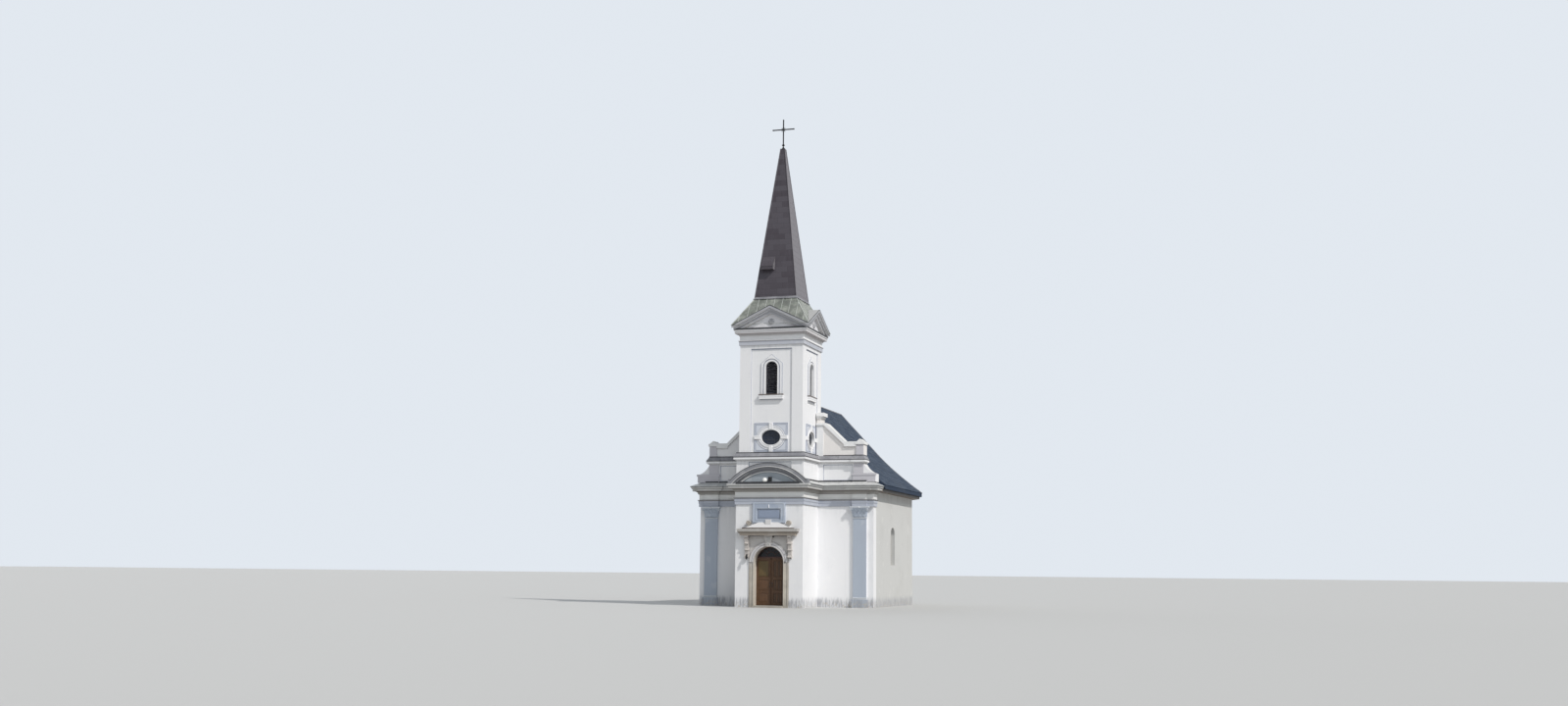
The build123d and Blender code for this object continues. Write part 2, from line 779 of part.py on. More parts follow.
with BuildPart() as oculus_glass:
    for name, turn in quarter_turns.items():
        if name != "back":
            add(oculus_pane.part.rotate(tower_axis, turn))
oculus_glass.part.label = "oculus_glass"
export_step(oculus_glass.part, "parts/oculus_glass.step")

# Cornice round the top of the belfry
belfry_ring = [
    (0, belfry_back_y), (belfry_half, belfry_back_y), (belfry_half, belfry_face_y),
    (-belfry_half, belfry_face_y), (-belfry_half, belfry_back_y), (0, belfry_back_y),
]
with BuildPart() as belfry_cornice:
    run_moulding(belfry_ring, [
        (0, band_bottom), (band_reach, band_bottom), (band_reach, band_top - 60),
        (band_reach + 40, band_top - 20), (band_reach + 40, band_top), (band_reach / 2, band_top),
        (band_reach / 2, top_bed - 40), (band_reach, top_bed),
        (band_reach + 50, top_bed + belfry_corona / 4), (top_cornice_reach - 60, top_bed + belfry_corona / 3),
        (top_cornice_reach - 40, top_bed + belfry_corona / 3), (top_cornice_reach - 40, belfry_top - 90),
        (top_cornice_reach, belfry_top - 60), (top_cornice_reach, belfry_top), (0, belfry_top)])
belfry_cornice.part.label = "belfry_cornice"
export_step(belfry_cornice.part, "parts/belfry_cornice.step")

# Pediments on the four sides: a stepped raking band over a sunk tympanum, mitred at the corners
pediment_half = belfry_half + pediment_reach
pediment_foot = belfry_top + pediment_end
pediment_apex = pediment_foot + pediment_rise
rake_slope = pediment_rise / pediment_half


def pediment_triangle(drop):
    """The pediment's outline lowered by a distance, cut off level with the cornice."""
    apex = pediment_apex - drop
    foot = (apex - belfry_top) / rake_slope
    end = pediment_foot - drop
    if end > belfry_top:
        return [(-pediment_half, belfry_top), (pediment_half, belfry_top), (pediment_half, end),
                (0, apex), (-pediment_half, end)]
    return [(-foot, belfry_top), (foot, belfry_top), (0, apex)]


skirt_slope = skirt_height / (pediment_half + skirt_lip - spire_half)
core_half = pediment_half - tympanum_recess - tympanum_thickness
core_height = spire_bottom - (core_half - spire_half) * skirt_slope
with BuildPart() as gable_block:
    with BuildSketch(wall_plane(belfry_face_y - pediment_reach)):
        with BuildLine():
            Polyline(*pediment_triangle(0), close=True)
        make_face()
    extrude(amount=pediment_half)
    plan_prism([(-pediment_half, axis_y - pediment_half), (pediment_half, axis_y - pediment_half),
                (0, axis_y)], belfry_top, pediment_apex, Mode.INTERSECT)

with BuildPart() as gable_blocks:
    for turn in quarter_turns.values():
        add(gable_block.part.rotate(tower_axis, turn))

with BuildPart() as pediment:
    add(gable_block.part)
    for sunk, share in ((0.25, 0.3), (0.5, 0.6), (1, 1)):
        with BuildSketch(wall_plane(belfry_face_y - pediment_reach)):
            with BuildLine():
                Polyline(*pediment_triangle(share * pediment_band), close=True)
            make_face()
        extrude(amount=sunk * tympanum_recess, mode=Mode.SUBTRACT)
    tympanum_y = belfry_face_y - pediment_reach + tympanum_recess
    with BuildSketch(wall_plane(tympanum_y)):
        with Locations((0, belfry_top + (pediment_apex - pediment_band - belfry_top) / 2)):
            RegularPolygon(boss_radius, 8)
    extrude(amount=-boss_depth)
    square_body([(core_half, belfry_top), (core_half, core_height), (spire_half, spire_bottom)], Mode.SUBTRACT)

with BuildPart() as tower_pediments:
    for turn in quarter_turns.values():
        add(pediment.part.rotate(tower_axis, turn))
tower_pediments.part.label = "tower_pediments"
export_step(tower_pediments.part, "parts/tower_pediments.step")

# Skirt roof: a pyramid shell between the pediments, up to the foot of the spire
with BuildPart() as skirt_roof:
    skirt_half = pediment_half + skirt_lip
    square_body([(skirt_half, skirt_foot), (spire_half, spire_bottom)])
    square_body([(skirt_half - skirt_thickness, skirt_foot), (spire_half - skirt_thickness, spire_bottom)],
                Mode.SUBTRACT)
    add(gable_blocks.part, mode=Mode.SUBTRACT)
skirt_roof.part.label = "skirt_roof"
export_step(skirt_roof.part, "parts/skirt_roof.step")

# Spire, its hatch, and the cross on the tip
with BuildPart() as spire_solid:
    square_body([(spire_half, spire_bottom), (spire_tip_half, spire_top)])
with BuildPart() as spire:
    add(spire_solid.part)
    taper = (spire_half - spire_tip_half) / spire_height
    square_body([(spire_half - sheet_thickness, spire_bottom),
                 (spire_tip_half, spire_top - sheet_thickness / taper)], Mode.SUBTRACT)
spire.part.label = "spire"
export_step(spire.part, "parts/spire.step")

hatch_bottom = spire_bottom + hatch_lift
hatch_top = hatch_bottom + hatch_height
with BuildPart() as spire_hatch:
    hatch_face = spire_half - taper * hatch_lift
    with BuildSketch(Plane(origin=(hatch_left, axis_y, 0), x_dir=(0, -1, 0), z_dir=(-1, 0, 0))):
        with BuildLine():
            Polyline((0, hatch_bottom), (hatch_face + hatch_reach, hatch_bottom),
                     (hatch_face + hatch_reach, hatch_bottom + hatch_height / 4),
                     (hatch_face - taper * hatch_height, hatch_top), (0, hatch_top), close=True)
        make_face()
    extrude(amount=-hatch_width)
    add(spire_solid.part, mode=Mode.SUBTRACT)
spire_hatch.part.label = "spire_hatch"
export_step(spire_hatch.part, "parts/spire_hatch.step")

with BuildPart() as cross:
    bar = cross_bar / 2
    arm_height = cross_top - cross_drop
    slab((-bar, bar), (axis_y - bar, axis_y + bar), (spire_top, cross_top))
    slab((-cross_span / 2, cross_span / 2), (axis_y - bar, axis_y + bar), (arm_height - bar, arm_height + bar))
    with BuildSketch(Plane(origin=(0, axis_y, spire_top + finial_lift), x_dir=(1, 0, 0), z_dir=(0, -1, 0))):
        with BuildLine():
            Polyline((0, -finial_radius), (finial_radius, 0), (0, finial_radius), close=True)
        make_face()
    revolve(axis=tower_axis)
cross.part.label = "cross"
export_step(cross.part, "parts/cross.step")

# Nave and apse walls, mitred at the corners, with round-headed windows
outer_line = nave_outline(0)
inner_line = nave_outline(-nave_wall)
nave_window_spring = nave_window_sill + nave_window_height
wall_names = ["nave_wall_right", "apse_wall_right", "apse_wall_back", "apse_wall_left", "nave_wall_left"]
window_planes = []
for index, name in enumerate(wall_names):
    start = Vector(*outer_line[index])
    finish = Vector(*outer_line[index + 1])
    along = (finish - start).normalized()
    inward = Vector(0, 0, 1).cross(along)
    with BuildPart() as nave_side:
        plan_prism([outer_line[index], outer_line[index + 1], inner_line[index + 1], inner_line[index]],
                   0, wall_head)
        if name != "apse_wall_back":
            middle = (start + finish) / 2
            if name.startswith("nave"):
                middle = Vector(middle.X, facade_y + nave_window_y)
            window_plane = Plane(origin=middle, x_dir=Vector(0, 0, 1).cross(inward) * -1, z_dir=inward)
            if window_plane.y_dir.Z < 0:
                window_plane = Plane(origin=middle, x_dir=-window_plane.x_dir, z_dir=inward)
            window_planes.append(window_plane)
            arched_block(window_plane, nave_window_half, nave_window_sill, nave_window_spring, nave_wall)
    nave_side.part.label = name
    export_step(nave_side.part, f"parts/{name}.step")

with BuildPart() as window_frames:
    for window_plane in window_planes:
        setting = window_plane.offset(window_setback)
        arched_block(setting, nave_window_half, nave_window_sill, nave_window_spring, window_frame_depth,
                     Mode.ADD)
        arched_block(setting, nave_window_half - window_frame, nave_window_sill + window_frame,
                     nave_window_spring, window_frame_depth)
window_frames.part.label = "window_frames"
export_step(window_frames.part, "parts/window_frames.step")

with BuildPart() as window_glass:
    for window_plane in window_planes:
        setting = window_plane.offset(window_setback + (window_frame_depth - glass) / 2)
        arched_block(setting, nave_window_half - window_frame, nave_window_sill + window_frame,
                     nave_window_spring, glass, Mode.ADD)
window_glass.part.label = "window_glass"
export_step(window_glass.part, "parts/window_glass.step")

# Eaves: a boxed shelf round the nave and apse, on the wall head
with BuildPart() as nave_eaves:
    plan_prism(nave_outline(eaves_shelf), wall_head, wall_head + eaves_depth)
    plan_prism(nave_outline(-nave_wall), wall_head, wall_head + eaves_depth, Mode.SUBTRACT)
nave_eaves.part.label = "nave_eaves"
export_step(nave_eaves.part, "parts/nave_eaves.step")


def slope_line(reach, drop=0.0):
    """Points of a roof slope from the ridge to the eave: straight, then a curved flare.

    The flare is a quadratic curve whose middle point is where the two pitches would meet, so a slope
    with another reach has the same heights and meets its neighbour on one hip line.
    """
    bend = Vector(reach * bend_share, eave_height + bend_rise - drop)
    ridge = Vector(0, ridge_height - drop)
    eave = Vector(reach, eave_height - drop)
    start = ridge + (bend - ridge) * 0.7
    points = [(ridge.X, ridge.Y)]
    for step in range(flare_steps + 1):
        t = step / flare_steps
        spot = start * (1 - t) ** 2 + bend * 2 * t * (1 - t) + eave * t ** 2
        points.append((spot.X, spot.Y))
    return points


def slope_face(reach):
    """The section of one roof slope, from the middle of the ridge out to the eave."""
    with BuildLine() as section:
        Polyline(*slope_line(reach), *reversed(slope_line(reach, roof_depth)), close=True)
    make_face(section.edges())


# Nave roof: both slopes from the facade to the hips
eave_line = nave_outline(eave_overhang)
with BuildPart() as nave_roof:
    with BuildSketch(Plane(origin=(0, nave_start_y, 0), x_dir=(1, 0, 0), z_dir=(0, -1, 0))):
        slope_face(nave_half + eave_overhang)
        mirror(about=Plane.YZ)
    extrude(amount=-(nave_length + ridge_beyond + eave_overhang))
    plan_prism([eave_line[0], eave_line[1], (0, ridge_end_y), eave_line[4], eave_line[5],
                (-belfry_half, nave_start_y), (-belfry_half, belfry_back_y), (belfry_half, belfry_back_y),
                (belfry_half, nave_start_y)], 0, ridge_height + 1, Mode.INTERSECT)
nave_roof.part.label = "nave_roof"
export_step(nave_roof.part, "parts/nave_roof.step")

# Apse roof: three slopes that meet at the ridge end
ridge_end = Vector(0, ridge_end_y)
apse_slopes = []
for index in (1, 2, 3):
    start = Vector(*eave_line[index])
    finish = Vector(*eave_line[index + 1])
    outward = (finish - start).normalized().cross(Vector(0, 0, 1))
    reach = (start - ridge_end).dot(outward)
    with BuildPart() as apse_slope:
        with BuildSketch(Plane(origin=ridge_end, x_dir=outward, z_dir=outward.cross(Vector(0, 0, 1)))):
            slope_face(reach)
        extrude(amount=nave_half + apse_length, both=True)
        plan_prism([eave_line[index], eave_line[index + 1], (0, ridge_end_y)], 0, ridge_height + 1,
                   Mode.INTERSECT)
    apse_slopes.append(apse_slope.part)

with BuildPart() as apse_roof:
    for apse_slope in apse_slopes:
        add(apse_slope)
apse_roof.part.label = "apse_roof"
export_step(apse_roof.part, "parts/apse_roof.step")

# Portal: stone jambs and spandrels round the doorway with a raised arch band, and the keystone
with BuildPart() as portal_surround:
    slab((-portal_half, portal_half), (face_y - portal_depth, face_y), (0, hood_bottom))
    band_y = face_y - portal_depth - archivolt_depth
    with BuildSketch(wall_plane(band_y)):
        segment_sketch(door_half + archivolt_width, door_spring, door_spring)
    extrude(amount=archivolt_depth)
    arched_block(wall_plane(band_y), door_half, 0, door_spring, portal_depth + archivolt_depth)
portal_surround.part.label = "portal_surround"
export_step(portal_surround.part, "parts/portal_surround.step")

with BuildPart() as keystone:
    with BuildSketch(wall_plane(band_y)):
        with BuildLine():
            foot_height = door_spring + door_half
            Polyline((-keystone_foot, foot_height), (keystone_foot, foot_height),
                     (keystone_head, hood_bottom), (-keystone_head, hood_bottom), close=True)
        make_face()
    extrude(amount=-keystone_depth)
    with BuildSketch(wall_plane(face_y - portal_depth)):
        with BuildLine():
            rise = hood_bottom - door_spring - door_half - archivolt_width
            Polyline((-keystone_foot, hood_bottom - rise), (keystone_foot, hood_bottom - rise),
                     (keystone_head, hood_bottom), (-keystone_head, hood_bottom), close=True)
        make_face()
    extrude(amount=-archivolt_depth)
    add(portal_surround.part, mode=Mode.SUBTRACT)
keystone.part.label = "keystone"
export_step(keystone.part, "parts/keystone.step")

# Door hood: a moulded slab with a low hipped cap and a knob
with BuildPart() as hood_cap:
    cap_half = hood_half - hood_cap_side
    cap_bend = hood_top + hood_cap_bend * hood_cap_rise
    cap_top = hood_top + hood_cap_rise
    with BuildSketch(wall_plane(face_y)):
        with BuildLine():
            middle = (cap_half + hood_cap_top) * 0.45
            Polyline((-cap_half, hood_top), (cap_half, hood_top), (middle, cap_bend),
                     (hood_cap_top, cap_top), (-hood_cap_top, cap_top), (-middle, cap_bend), close=True)
        make_face()
    extrude(amount=-hood_cap_reach)
    side_profile((-cap_half, cap_half),
                 [(0, hood_top), (hood_cap_reach, hood_top), (hood_cap_reach * 0.5, cap_bend),
                  (hood_cap_reach * 0.3, cap_top), (0, cap_top)], Mode.INTERSECT)
    slab((-knob_half, knob_half), (face_y - knob_depth, face_y), (cap_bend, cap_top + knob_height))

with BuildPart() as door_hood:
    for inset, low, high in ((hood_bed, 0, 0.4), (hood_step, 0.4, 0.62), (0, 0.62, 1)):
        slab((inset - hood_half, hood_half - inset), (face_y - hood_reach + inset, face_y),
             (hood_bottom + low * hood_thickness, hood_bottom + high * hood_thickness))
    add(hood_cap.part)
door_hood.part.label = "door_hood"
export_step(door_hood.part, "parts/door_hood.step")

# Brackets under the hood: a ringed shaft that ends in a scroll
with BuildPart() as hood_consoles:
    for side in (-1, 1):
        across = (side * portal_half, side * (portal_half + console_width))
        foot = hood_bottom - console_drop
        rows = [(0, foot), (0, hood_bottom), (1.0, hood_bottom), (1.0, hood_bottom - 90)]
        for share, height in ((0.84, 0.12), (0.72, 0.30), (0.80, 0.33), (0.80, 0.38), (0.68, 0.42),
                              (0.56, 0.58), (0.64, 0.61), (0.64, 0.66), (0.52, 0.70), (0.44, 0.84)):
            rows.append((share, hood_bottom - height * console_drop))
        rows.append((0.30, foot))
        side_profile(across, [(share * console_reach, height) for share, height in rows])
        scroll = Plane(origin=(min(across), face_y - console_scroll, 0), x_dir=(0, -1, 0), z_dir=(-1, 0, 0))
        with BuildSketch(scroll):
            with Locations((console_scroll / 4, foot + console_scroll)):
                Circle(console_scroll)
        extrude(amount=-console_width)
hood_consoles.part.label = "hood_consoles"
export_step(hood_consoles.part, "parts/hood_consoles.step")

# Plaque over the hood: a moulded frame with a sunk bare panel, and a scroll at each foot
with BuildPart() as plaque:
    plaque_bottom = hood_top + plaque_lift
    plaque_top = order_height + plaque_lap
    slab((-plaque_half, plaque_half), (face_y - plaque_depth, face_y), (plaque_bottom, plaque_top))
    slab((plaque_border - plaque_half, plaque_half - plaque_border),
         (face_y - plaque_depth, face_y - plaque_depth + plaque_sink),
         (plaque_bottom + plaque_border * 0.75, plaque_top - plaque_border * 1.4), Mode.SUBTRACT)
    add(door_hood.part, mode=Mode.SUBTRACT)
    add(main_cornice.part, mode=Mode.SUBTRACT)
plaque.part.label = "plaque"
export_step(plaque.part, "parts/plaque.step")

with BuildPart() as plaque_scrolls:
    for side in (-1, 1):
        with BuildSketch(wall_plane(face_y - volute_depth)):
            with Locations((side * (plaque_half + volute_gap + volute_radius), plaque_bottom)):
                Circle(volute_radius)
        extrude(amount=volute_depth)
    add(door_hood.part, mode=Mode.SUBTRACT)
plaque_scrolls.part.label = "plaque_scrolls"
export_step(plaque_scrolls.part, "parts/plaque_scrolls.step")

# Door leaves: framed and panelled, hung on knuckles with straps across the back, opening inward
leaf_outer = door_half + leaf_lap
leaf_height = leaf_top - leaf_bottom
hinge_heights = [leaf_bottom + share * leaf_height for share in hinge_shares]
for name, side in (("left", -1), ("right", 1)):
    with BuildPart() as door_leaf:
        meeting = side * leaf_gap / 2
        slab((meeting, side * leaf_outer), (leaf_front_y, leaf_back_y), (leaf_bottom, leaf_top))
        for face in (leaf_front_y, leaf_back_y - panel_sink):
            bottom = leaf_bottom + stile
            for share in panel_shares:
                top = bottom + share * (leaf_height - stile)
                slab((meeting + side * stile, side * (leaf_outer - stile)), (face, face + panel_sink),
                     (bottom, top - stile), Mode.SUBTRACT)
                bottom = top
        for height in hinge_heights:
            slab((side * hinge_x, side * (leaf_outer - strap_length)),
                 (leaf_back_y, leaf_back_y + strap_thickness), (height, height + knuckle_height))
            for radius, mode in ((knuckle_radius, Mode.ADD), (hinge_pin_radius + hinge_clearance, Mode.SUBTRACT)):
                with BuildSketch(Plane.XY.offset(height)):
                    with Locations((side * hinge_x, hinge_y)):
                        Circle(radius)
                extrude(amount=knuckle_height, mode=mode)
        handle_x = leaf_gap / 2 + stile / 2
        for face, way in ((leaf_front_y, -1), (leaf_back_y, 1)):
            for radius, start, finish in ((handle_neck, 0, handle_reach),
                                          (handle_radius, handle_reach, handle_reach + handle_thickness)):
                with BuildSketch(wall_plane(face + way * start)):
                    with Locations((-side * handle_x, handle_height)):
                        RegularPolygon(radius, 8)
                extrude(amount=way * (finish - start))
    door_leaf.part.label = f"door_leaf_{name}"
    export_step(door_leaf.part, f"parts/door_leaf_{name}.step")

# Hinge pins of the leaves, on brackets built into the reveals
with BuildPart() as door_pintles:
    for side in (-1, 1):
        for height in hinge_heights:
            bracket_top = height - hinge_clearance
            slab((side * (hinge_x - hinge_pin_radius), side * (door_half + rebate)),
                 (hinge_y - hinge_pin_radius, hinge_y + hinge_pin_radius),
                 (bracket_top - bracket_height, bracket_top))
            with BuildSketch(Plane.XY.offset(bracket_top - bracket_height)):
                with Locations((side * hinge_x, hinge_y)):
                    Circle(hinge_pin_radius)
            extrude(amount=bracket_height + knuckle_height)
door_pintles.part.label = "door_pintles"
export_step(door_pintles.part, "parts/door_pintles.step")

# Fanlight: transom and arched frame behind the stop, with its glass
transom_bottom = leaf_top + leaf_clearance
transom_top = transom_bottom + transom_height
with BuildPart() as fanlight_frame:
    with BuildSketch(wall_plane(leaf_front_y)):
        segment_sketch(door_half + rebate, door_spring, transom_bottom)
    extrude(amount=frame_depth)
    with BuildSketch(wall_plane(leaf_front_y)):
        segment_sketch(door_half - fanlight_bar, door_spring, transom_top)
    extrude(amount=frame_depth, mode=Mode.SUBTRACT)
fanlight_frame.part.label = "fanlight_frame"
export_step(fanlight_frame.part, "parts/fanlight_frame.step")

with BuildPart() as fanlight_glass:
    with BuildSketch(wall_plane(leaf_front_y + (frame_depth - glass) / 2)):
        segment_sketch(door_half - fanlight_bar, door_spring, transom_top)
    extrude(amount=glass)
fanlight_glass.part.label = "fanlight_glass"
export_step(fanlight_glass.part, "parts/fanlight_glass.step")

# Gable crest of each wing: the coping of the sweep, the pier cap beside the tower and the pedestal cap
with BuildPart() as gable_crest:
    for side in (-1, 1):
        front = facade_y - coping_reach
        sweep_foot = pedestal_inner - sweep_ledge
        with BuildSketch(Plane(origin=(0, front, 0), x_dir=(1, 0, 0), z_dir=(0, -1, 0))):
            with BuildLine():
                Polyline((side * pier_outer, shoulder_height), (side * sweep_foot, pedestal_top),
                         (side * upper_inner, pedestal_top),
                         (side * upper_inner, pedestal_top + coping_depth),
                         (side * (sweep_foot + coping_depth * 0.4), pedestal_top + coping_depth),
                         (side * (pier_outer + 1.4 * coping_reach), shoulder_height + shoulder_band),
                         (side * pier_outer, shoulder_height + shoulder_band), close=True)
            make_face()
        extrude(amount=-(facade_wall + coping_reach))
        slab((side * belfry_half, side * pier_outer), (facade_y - coping_reach, facade_y),
             (shoulder_height, shoulder_height + shoulder_band))
        slab((side * sweep_foot, side * upper_inner), (front, facade_y), (pedestal_top - ledge_band, pedestal_top))
        slab((side * neck_outer, side * pier_outer), (facade_y, nave_start_y),
             (shoulder_height, shoulder_height + shoulder_band))
        slab((side * belfry_half, side * strip_outer), (facade_y - strip_depth, facade_y),
             (tower_top, shoulder_height))
        slab((side * belfry_half, side * (neck_outer + neck_band)), (facade_y - neck_band, nave_start_y),
             (pier_top, pier_top + pier_cap / 3))
        slab((side * belfry_half, side * pier_outer), (front, nave_start_y),
             (pier_top + pier_cap / 3, pier_top + pier_cap))
        slab((side * (upper_inner - pedestal_reach), side * (pedestal_outer + pedestal_reach)),
             (pier_front - pedestal_reach, nave_start_y), (pedestal_top, pedestal_top + pedestal_cap))
        with BuildSketch(Plane(origin=(0, pier_front, 0), x_dir=(1, 0, 0), z_dir=(0, -1, 0))):
            with BuildLine():
                Polyline((side * upper_inner, pedestal_top + pedestal_cap),
                         (side * pedestal_outer, pedestal_top + pedestal_cap),
                         (side * (upper_inner + pedestal_outer) / 2,
                          pedestal_top + pedestal_cap + pedestal_crown), close=True)
            make_face()
        extrude(amount=-(facade_wall + pier_reach))
gable_crest.part.label = "gable_crest"
export_step(gable_crest.part, "parts/gable_crest.step")

# Lantern on the foot of the left bracket, and the lamp that stands in the curved pediment
with BuildPart() as wall_lantern:
    lantern_x = -portal_half - lantern_out
    with BuildSketch(Plane.XY.offset(lantern_height)):
        with Locations((lantern_x, face_y - lantern_arm)):
            Circle(lantern_radius)
    extrude(amount=lantern_body)
    slab((lantern_x - lantern_bracket / 2, lantern_x + lantern_bracket / 2), (face_y - lantern_arm, face_y),
         (lantern_height + lantern_body - lantern_bracket, lantern_height + lantern_body))
    add(hood_consoles.part, mode=Mode.SUBTRACT)
wall_lantern.part.label = "wall_lantern"
export_step(wall_lantern.part, "parts/wall_lantern.step")

with BuildPart() as floodlight:
    lamp_y = face_y - segment_field_depth - lamp_radius
    lamp_plane = Plane(origin=(-lamp_radius, lamp_y, corona_top), x_dir=(1, 0, 0), z_dir=(0, -1, 0))
    with BuildSketch(lamp_plane):
        with BuildLine():
            Polyline((0, 0), (lamp_radius * 0.7, 0), (lamp_radius, lamp_height / 2),
                     (lamp_radius * 0.7, lamp_height), (0, lamp_height), close=True)
        make_face()
    revolve(axis=Axis((-lamp_radius, lamp_y, 0), (0, 0, 1)))
    slab((0, lamp_housing), (lamp_y - lamp_housing / 2, lamp_y + lamp_housing / 2),
         (corona_top, corona_top + lamp_height * 1.35))
floodlight.part.label = "floodlight"
export_step(floodlight.part, "parts/floodlight.step")
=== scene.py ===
"""Looks of a small white-rendered church: finishes, slates, sheet metal, carving, ironwork and light.

Metres, in the model's own frame: X along the facade, Y into the building, Z up from the ground.
"""

import math

import bmesh
import bpy
import numpy as np
from mathutils import Matrix, Vector


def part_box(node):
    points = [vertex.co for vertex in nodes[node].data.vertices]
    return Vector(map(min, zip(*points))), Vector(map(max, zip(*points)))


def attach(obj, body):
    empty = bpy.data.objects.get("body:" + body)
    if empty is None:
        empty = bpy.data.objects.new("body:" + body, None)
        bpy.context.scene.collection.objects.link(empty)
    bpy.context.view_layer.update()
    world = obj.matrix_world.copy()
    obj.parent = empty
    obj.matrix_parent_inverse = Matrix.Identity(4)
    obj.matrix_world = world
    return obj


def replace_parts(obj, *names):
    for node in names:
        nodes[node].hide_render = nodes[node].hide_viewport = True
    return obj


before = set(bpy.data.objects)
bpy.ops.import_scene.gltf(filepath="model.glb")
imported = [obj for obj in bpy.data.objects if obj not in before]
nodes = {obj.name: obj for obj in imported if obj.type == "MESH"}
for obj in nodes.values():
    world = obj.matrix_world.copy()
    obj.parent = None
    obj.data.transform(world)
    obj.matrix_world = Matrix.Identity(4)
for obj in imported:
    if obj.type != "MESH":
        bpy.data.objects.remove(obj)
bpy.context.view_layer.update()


def low(node):
    """Lowest corner of a CAD node."""
    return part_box(node)[0]


def high(node):
    """Highest corner of a CAD node."""
    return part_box(node)[1]


# Sizes of the church that no node's box gives
nave_setback = 0.066
architrave_height = 0.36
band_height = 0.254
pilaster_base_flare = 0.07
pilaster_width = 0.697
pilaster_depth = 0.12
abacus_height = 0.09
hood_thickness = 0.33
hood_line_half = 1.33
hood_line_reach = 0.37
console_width = 0.19
console_drop = 1.15
console_reach = 0.28
door_half = 0.785
portal_reach = 0.07
leaf_setback = 0.406
plaque_lift = 0.31
plaque_lap = 0.11
plaque_depth = 0.11
plaque_sink = 0.045
plaque_borders = (0.1725, 0.322)
plaque_field_half = 0.64
segment_half = 2.05
segment_rise = 0.895
segment_lift = 0.15
oculus_lift = 0.81
oculus_half_width = 0.515
oculus_half_height = 0.39
oculus_moulding = 0.25
plate_half_width = 0.915
plate_half_height = 0.76
belfry_panel_half = 1.11
belfry_panel_drop = 0.186
panel_depth = 0.05
belfry_panel_depth = 0.06
attic_panel_half = 1.15
wing_panel_inset = 0.27
wing_panel_width = 1.59
wing_panel_head = 0.90
louvre_lift = 3.04
louvre_height = 1.39
back_sill_rise = 0.31
sill_half = 0.64
sill_reach = 0.135
tympanum_recess = 0.32
pediment_apex = 1.22
pedestal_inset = 0.506
pedestal_width = 0.52
pedestal_reach = 0.06
spire_tip_half = 0.10
eave_rise = 0.33
eave_reach = 0.55
ridge_beyond = 1.6
bend_share = 0.667
bend_rise = 1.2
apse_half = 1.9
window_y = 4.7
window_half = 0.41
window_spring = 3.76
lamp_radius = 0.165
cross_drop = 0.55

# Places read from the frame
face_y = low("tower_front_piers").y
tower_half = high("tower_front_piers").x
tower_top = high("tower_wall_left").z
facade_y = low("facade_right").y
facade_half = high("nave_wall_right").x + nave_setback
axis_y = (low("belfry_front").y + high("belfry_back").y) / 2
belfry_half = high("belfry_front").x
belfry_face_y = low("belfry_front").y
belfry_top = high("belfry_front").z
spire_foot = low("spire").z
spire_top = high("spire").z
spire_half = high("spire").x
wall_head = high("nave_wall_left").z
order_height = low("main_cornice").z
architrave_top = order_height + architrave_height
corona_top = high("main_cornice").z
capping_top = high("cornice_capping").z
string_foot = low("string_course").z
band_foot = low("belfry_cornice").z
band_top = band_foot + band_height
nave_start_y = low("nave_wall_right").y
pilaster_outer = high("pilasters").x - pilaster_base_flare
pilaster_inner = pilaster_outer - pilaster_width
pilaster_front = facade_y - pilaster_depth
capital_foot = low("capitals").z
abacus_foot = order_height - abacus_height
hood_foot = low("door_hood").z
hood_top = hood_foot + hood_thickness
hood_half = high("door_hood").x
hood_front = low("door_hood").y
console_x = high("portal_surround").x
door_spring = high("tower_front_piers").z
portal_y = face_y - portal_reach
leaf_y = face_y + leaf_setback
plaque_half = high("plaque").x
plaque_front = face_y - plaque_depth
plaque_field_y = plaque_front + plaque_sink
plaque_z = (hood_top + plaque_lift, order_height + plaque_lap)
oculus_z = tower_top + oculus_lift
pediment_half = high("tower_pediments").x
tympanum_half = pediment_half - tympanum_recess
apex_z = belfry_top + pediment_apex
plate_y = belfry_face_y + belfry_panel_depth
ridge_z = high("nave_roof").z
eave_z = wall_head + eave_rise
nave_half = high("nave_wall_right").x
corner_y = high("nave_wall_right").y
apse_end_y = high("apse_wall_back").y
ridge_end_y = corner_y + ridge_beyond
louvre_spring = tower_top + louvre_lift + louvre_height
louvre_sills = [tower_top + louvre_lift] * 4
louvre_sills[2] = ridge_z + back_sill_rise


class Wire:
    """A node output that arithmetic can be done on: each operator adds a Math node."""

    def __init__(self, finish, socket):
        self.finish = finish
        self.socket = socket

    def maths(self, operation, *values):
        return self.finish.node("ShaderNodeMath", {"operation": operation}, dict(enumerate(values)))

    def __add__(self, other):
        return self.maths("ADD", self, other)

    def __radd__(self, other):
        return self.maths("ADD", other, self)

    def __sub__(self, other):
        return self.maths("SUBTRACT", self, other)

    def __rsub__(self, other):
        return self.maths("SUBTRACT", other, self)

    def __mul__(self, other):
        return self.maths("MULTIPLY", self, other)

    def __rmul__(self, other):
        return self.maths("MULTIPLY", other, self)

    def __truediv__(self, other):
        return self.maths("DIVIDE", self, other)

    def __gt__(self, other):
        return self.maths("GREATER_THAN", self, other)

    def __lt__(self, other):
        return self.maths("LESS_THAN", self, other)

    def floor(self):
        return self.maths("FLOOR", self)

    def fract(self):
        return self.maths("FRACT", self)

    def abs(self):
        return self.maths("ABSOLUTE", self)

    def squared(self):
        return self.maths("POWER", self, 2.0)

    def step(self, start, end):
        """0 below start, 1 above end and smooth between; start may be the larger of the two."""
        return self.finish.node("ShaderNodeMapRange", {"interpolation_type": "SMOOTHSTEP"},
                                {"Value": self, "From Min": start, "From Max": end})


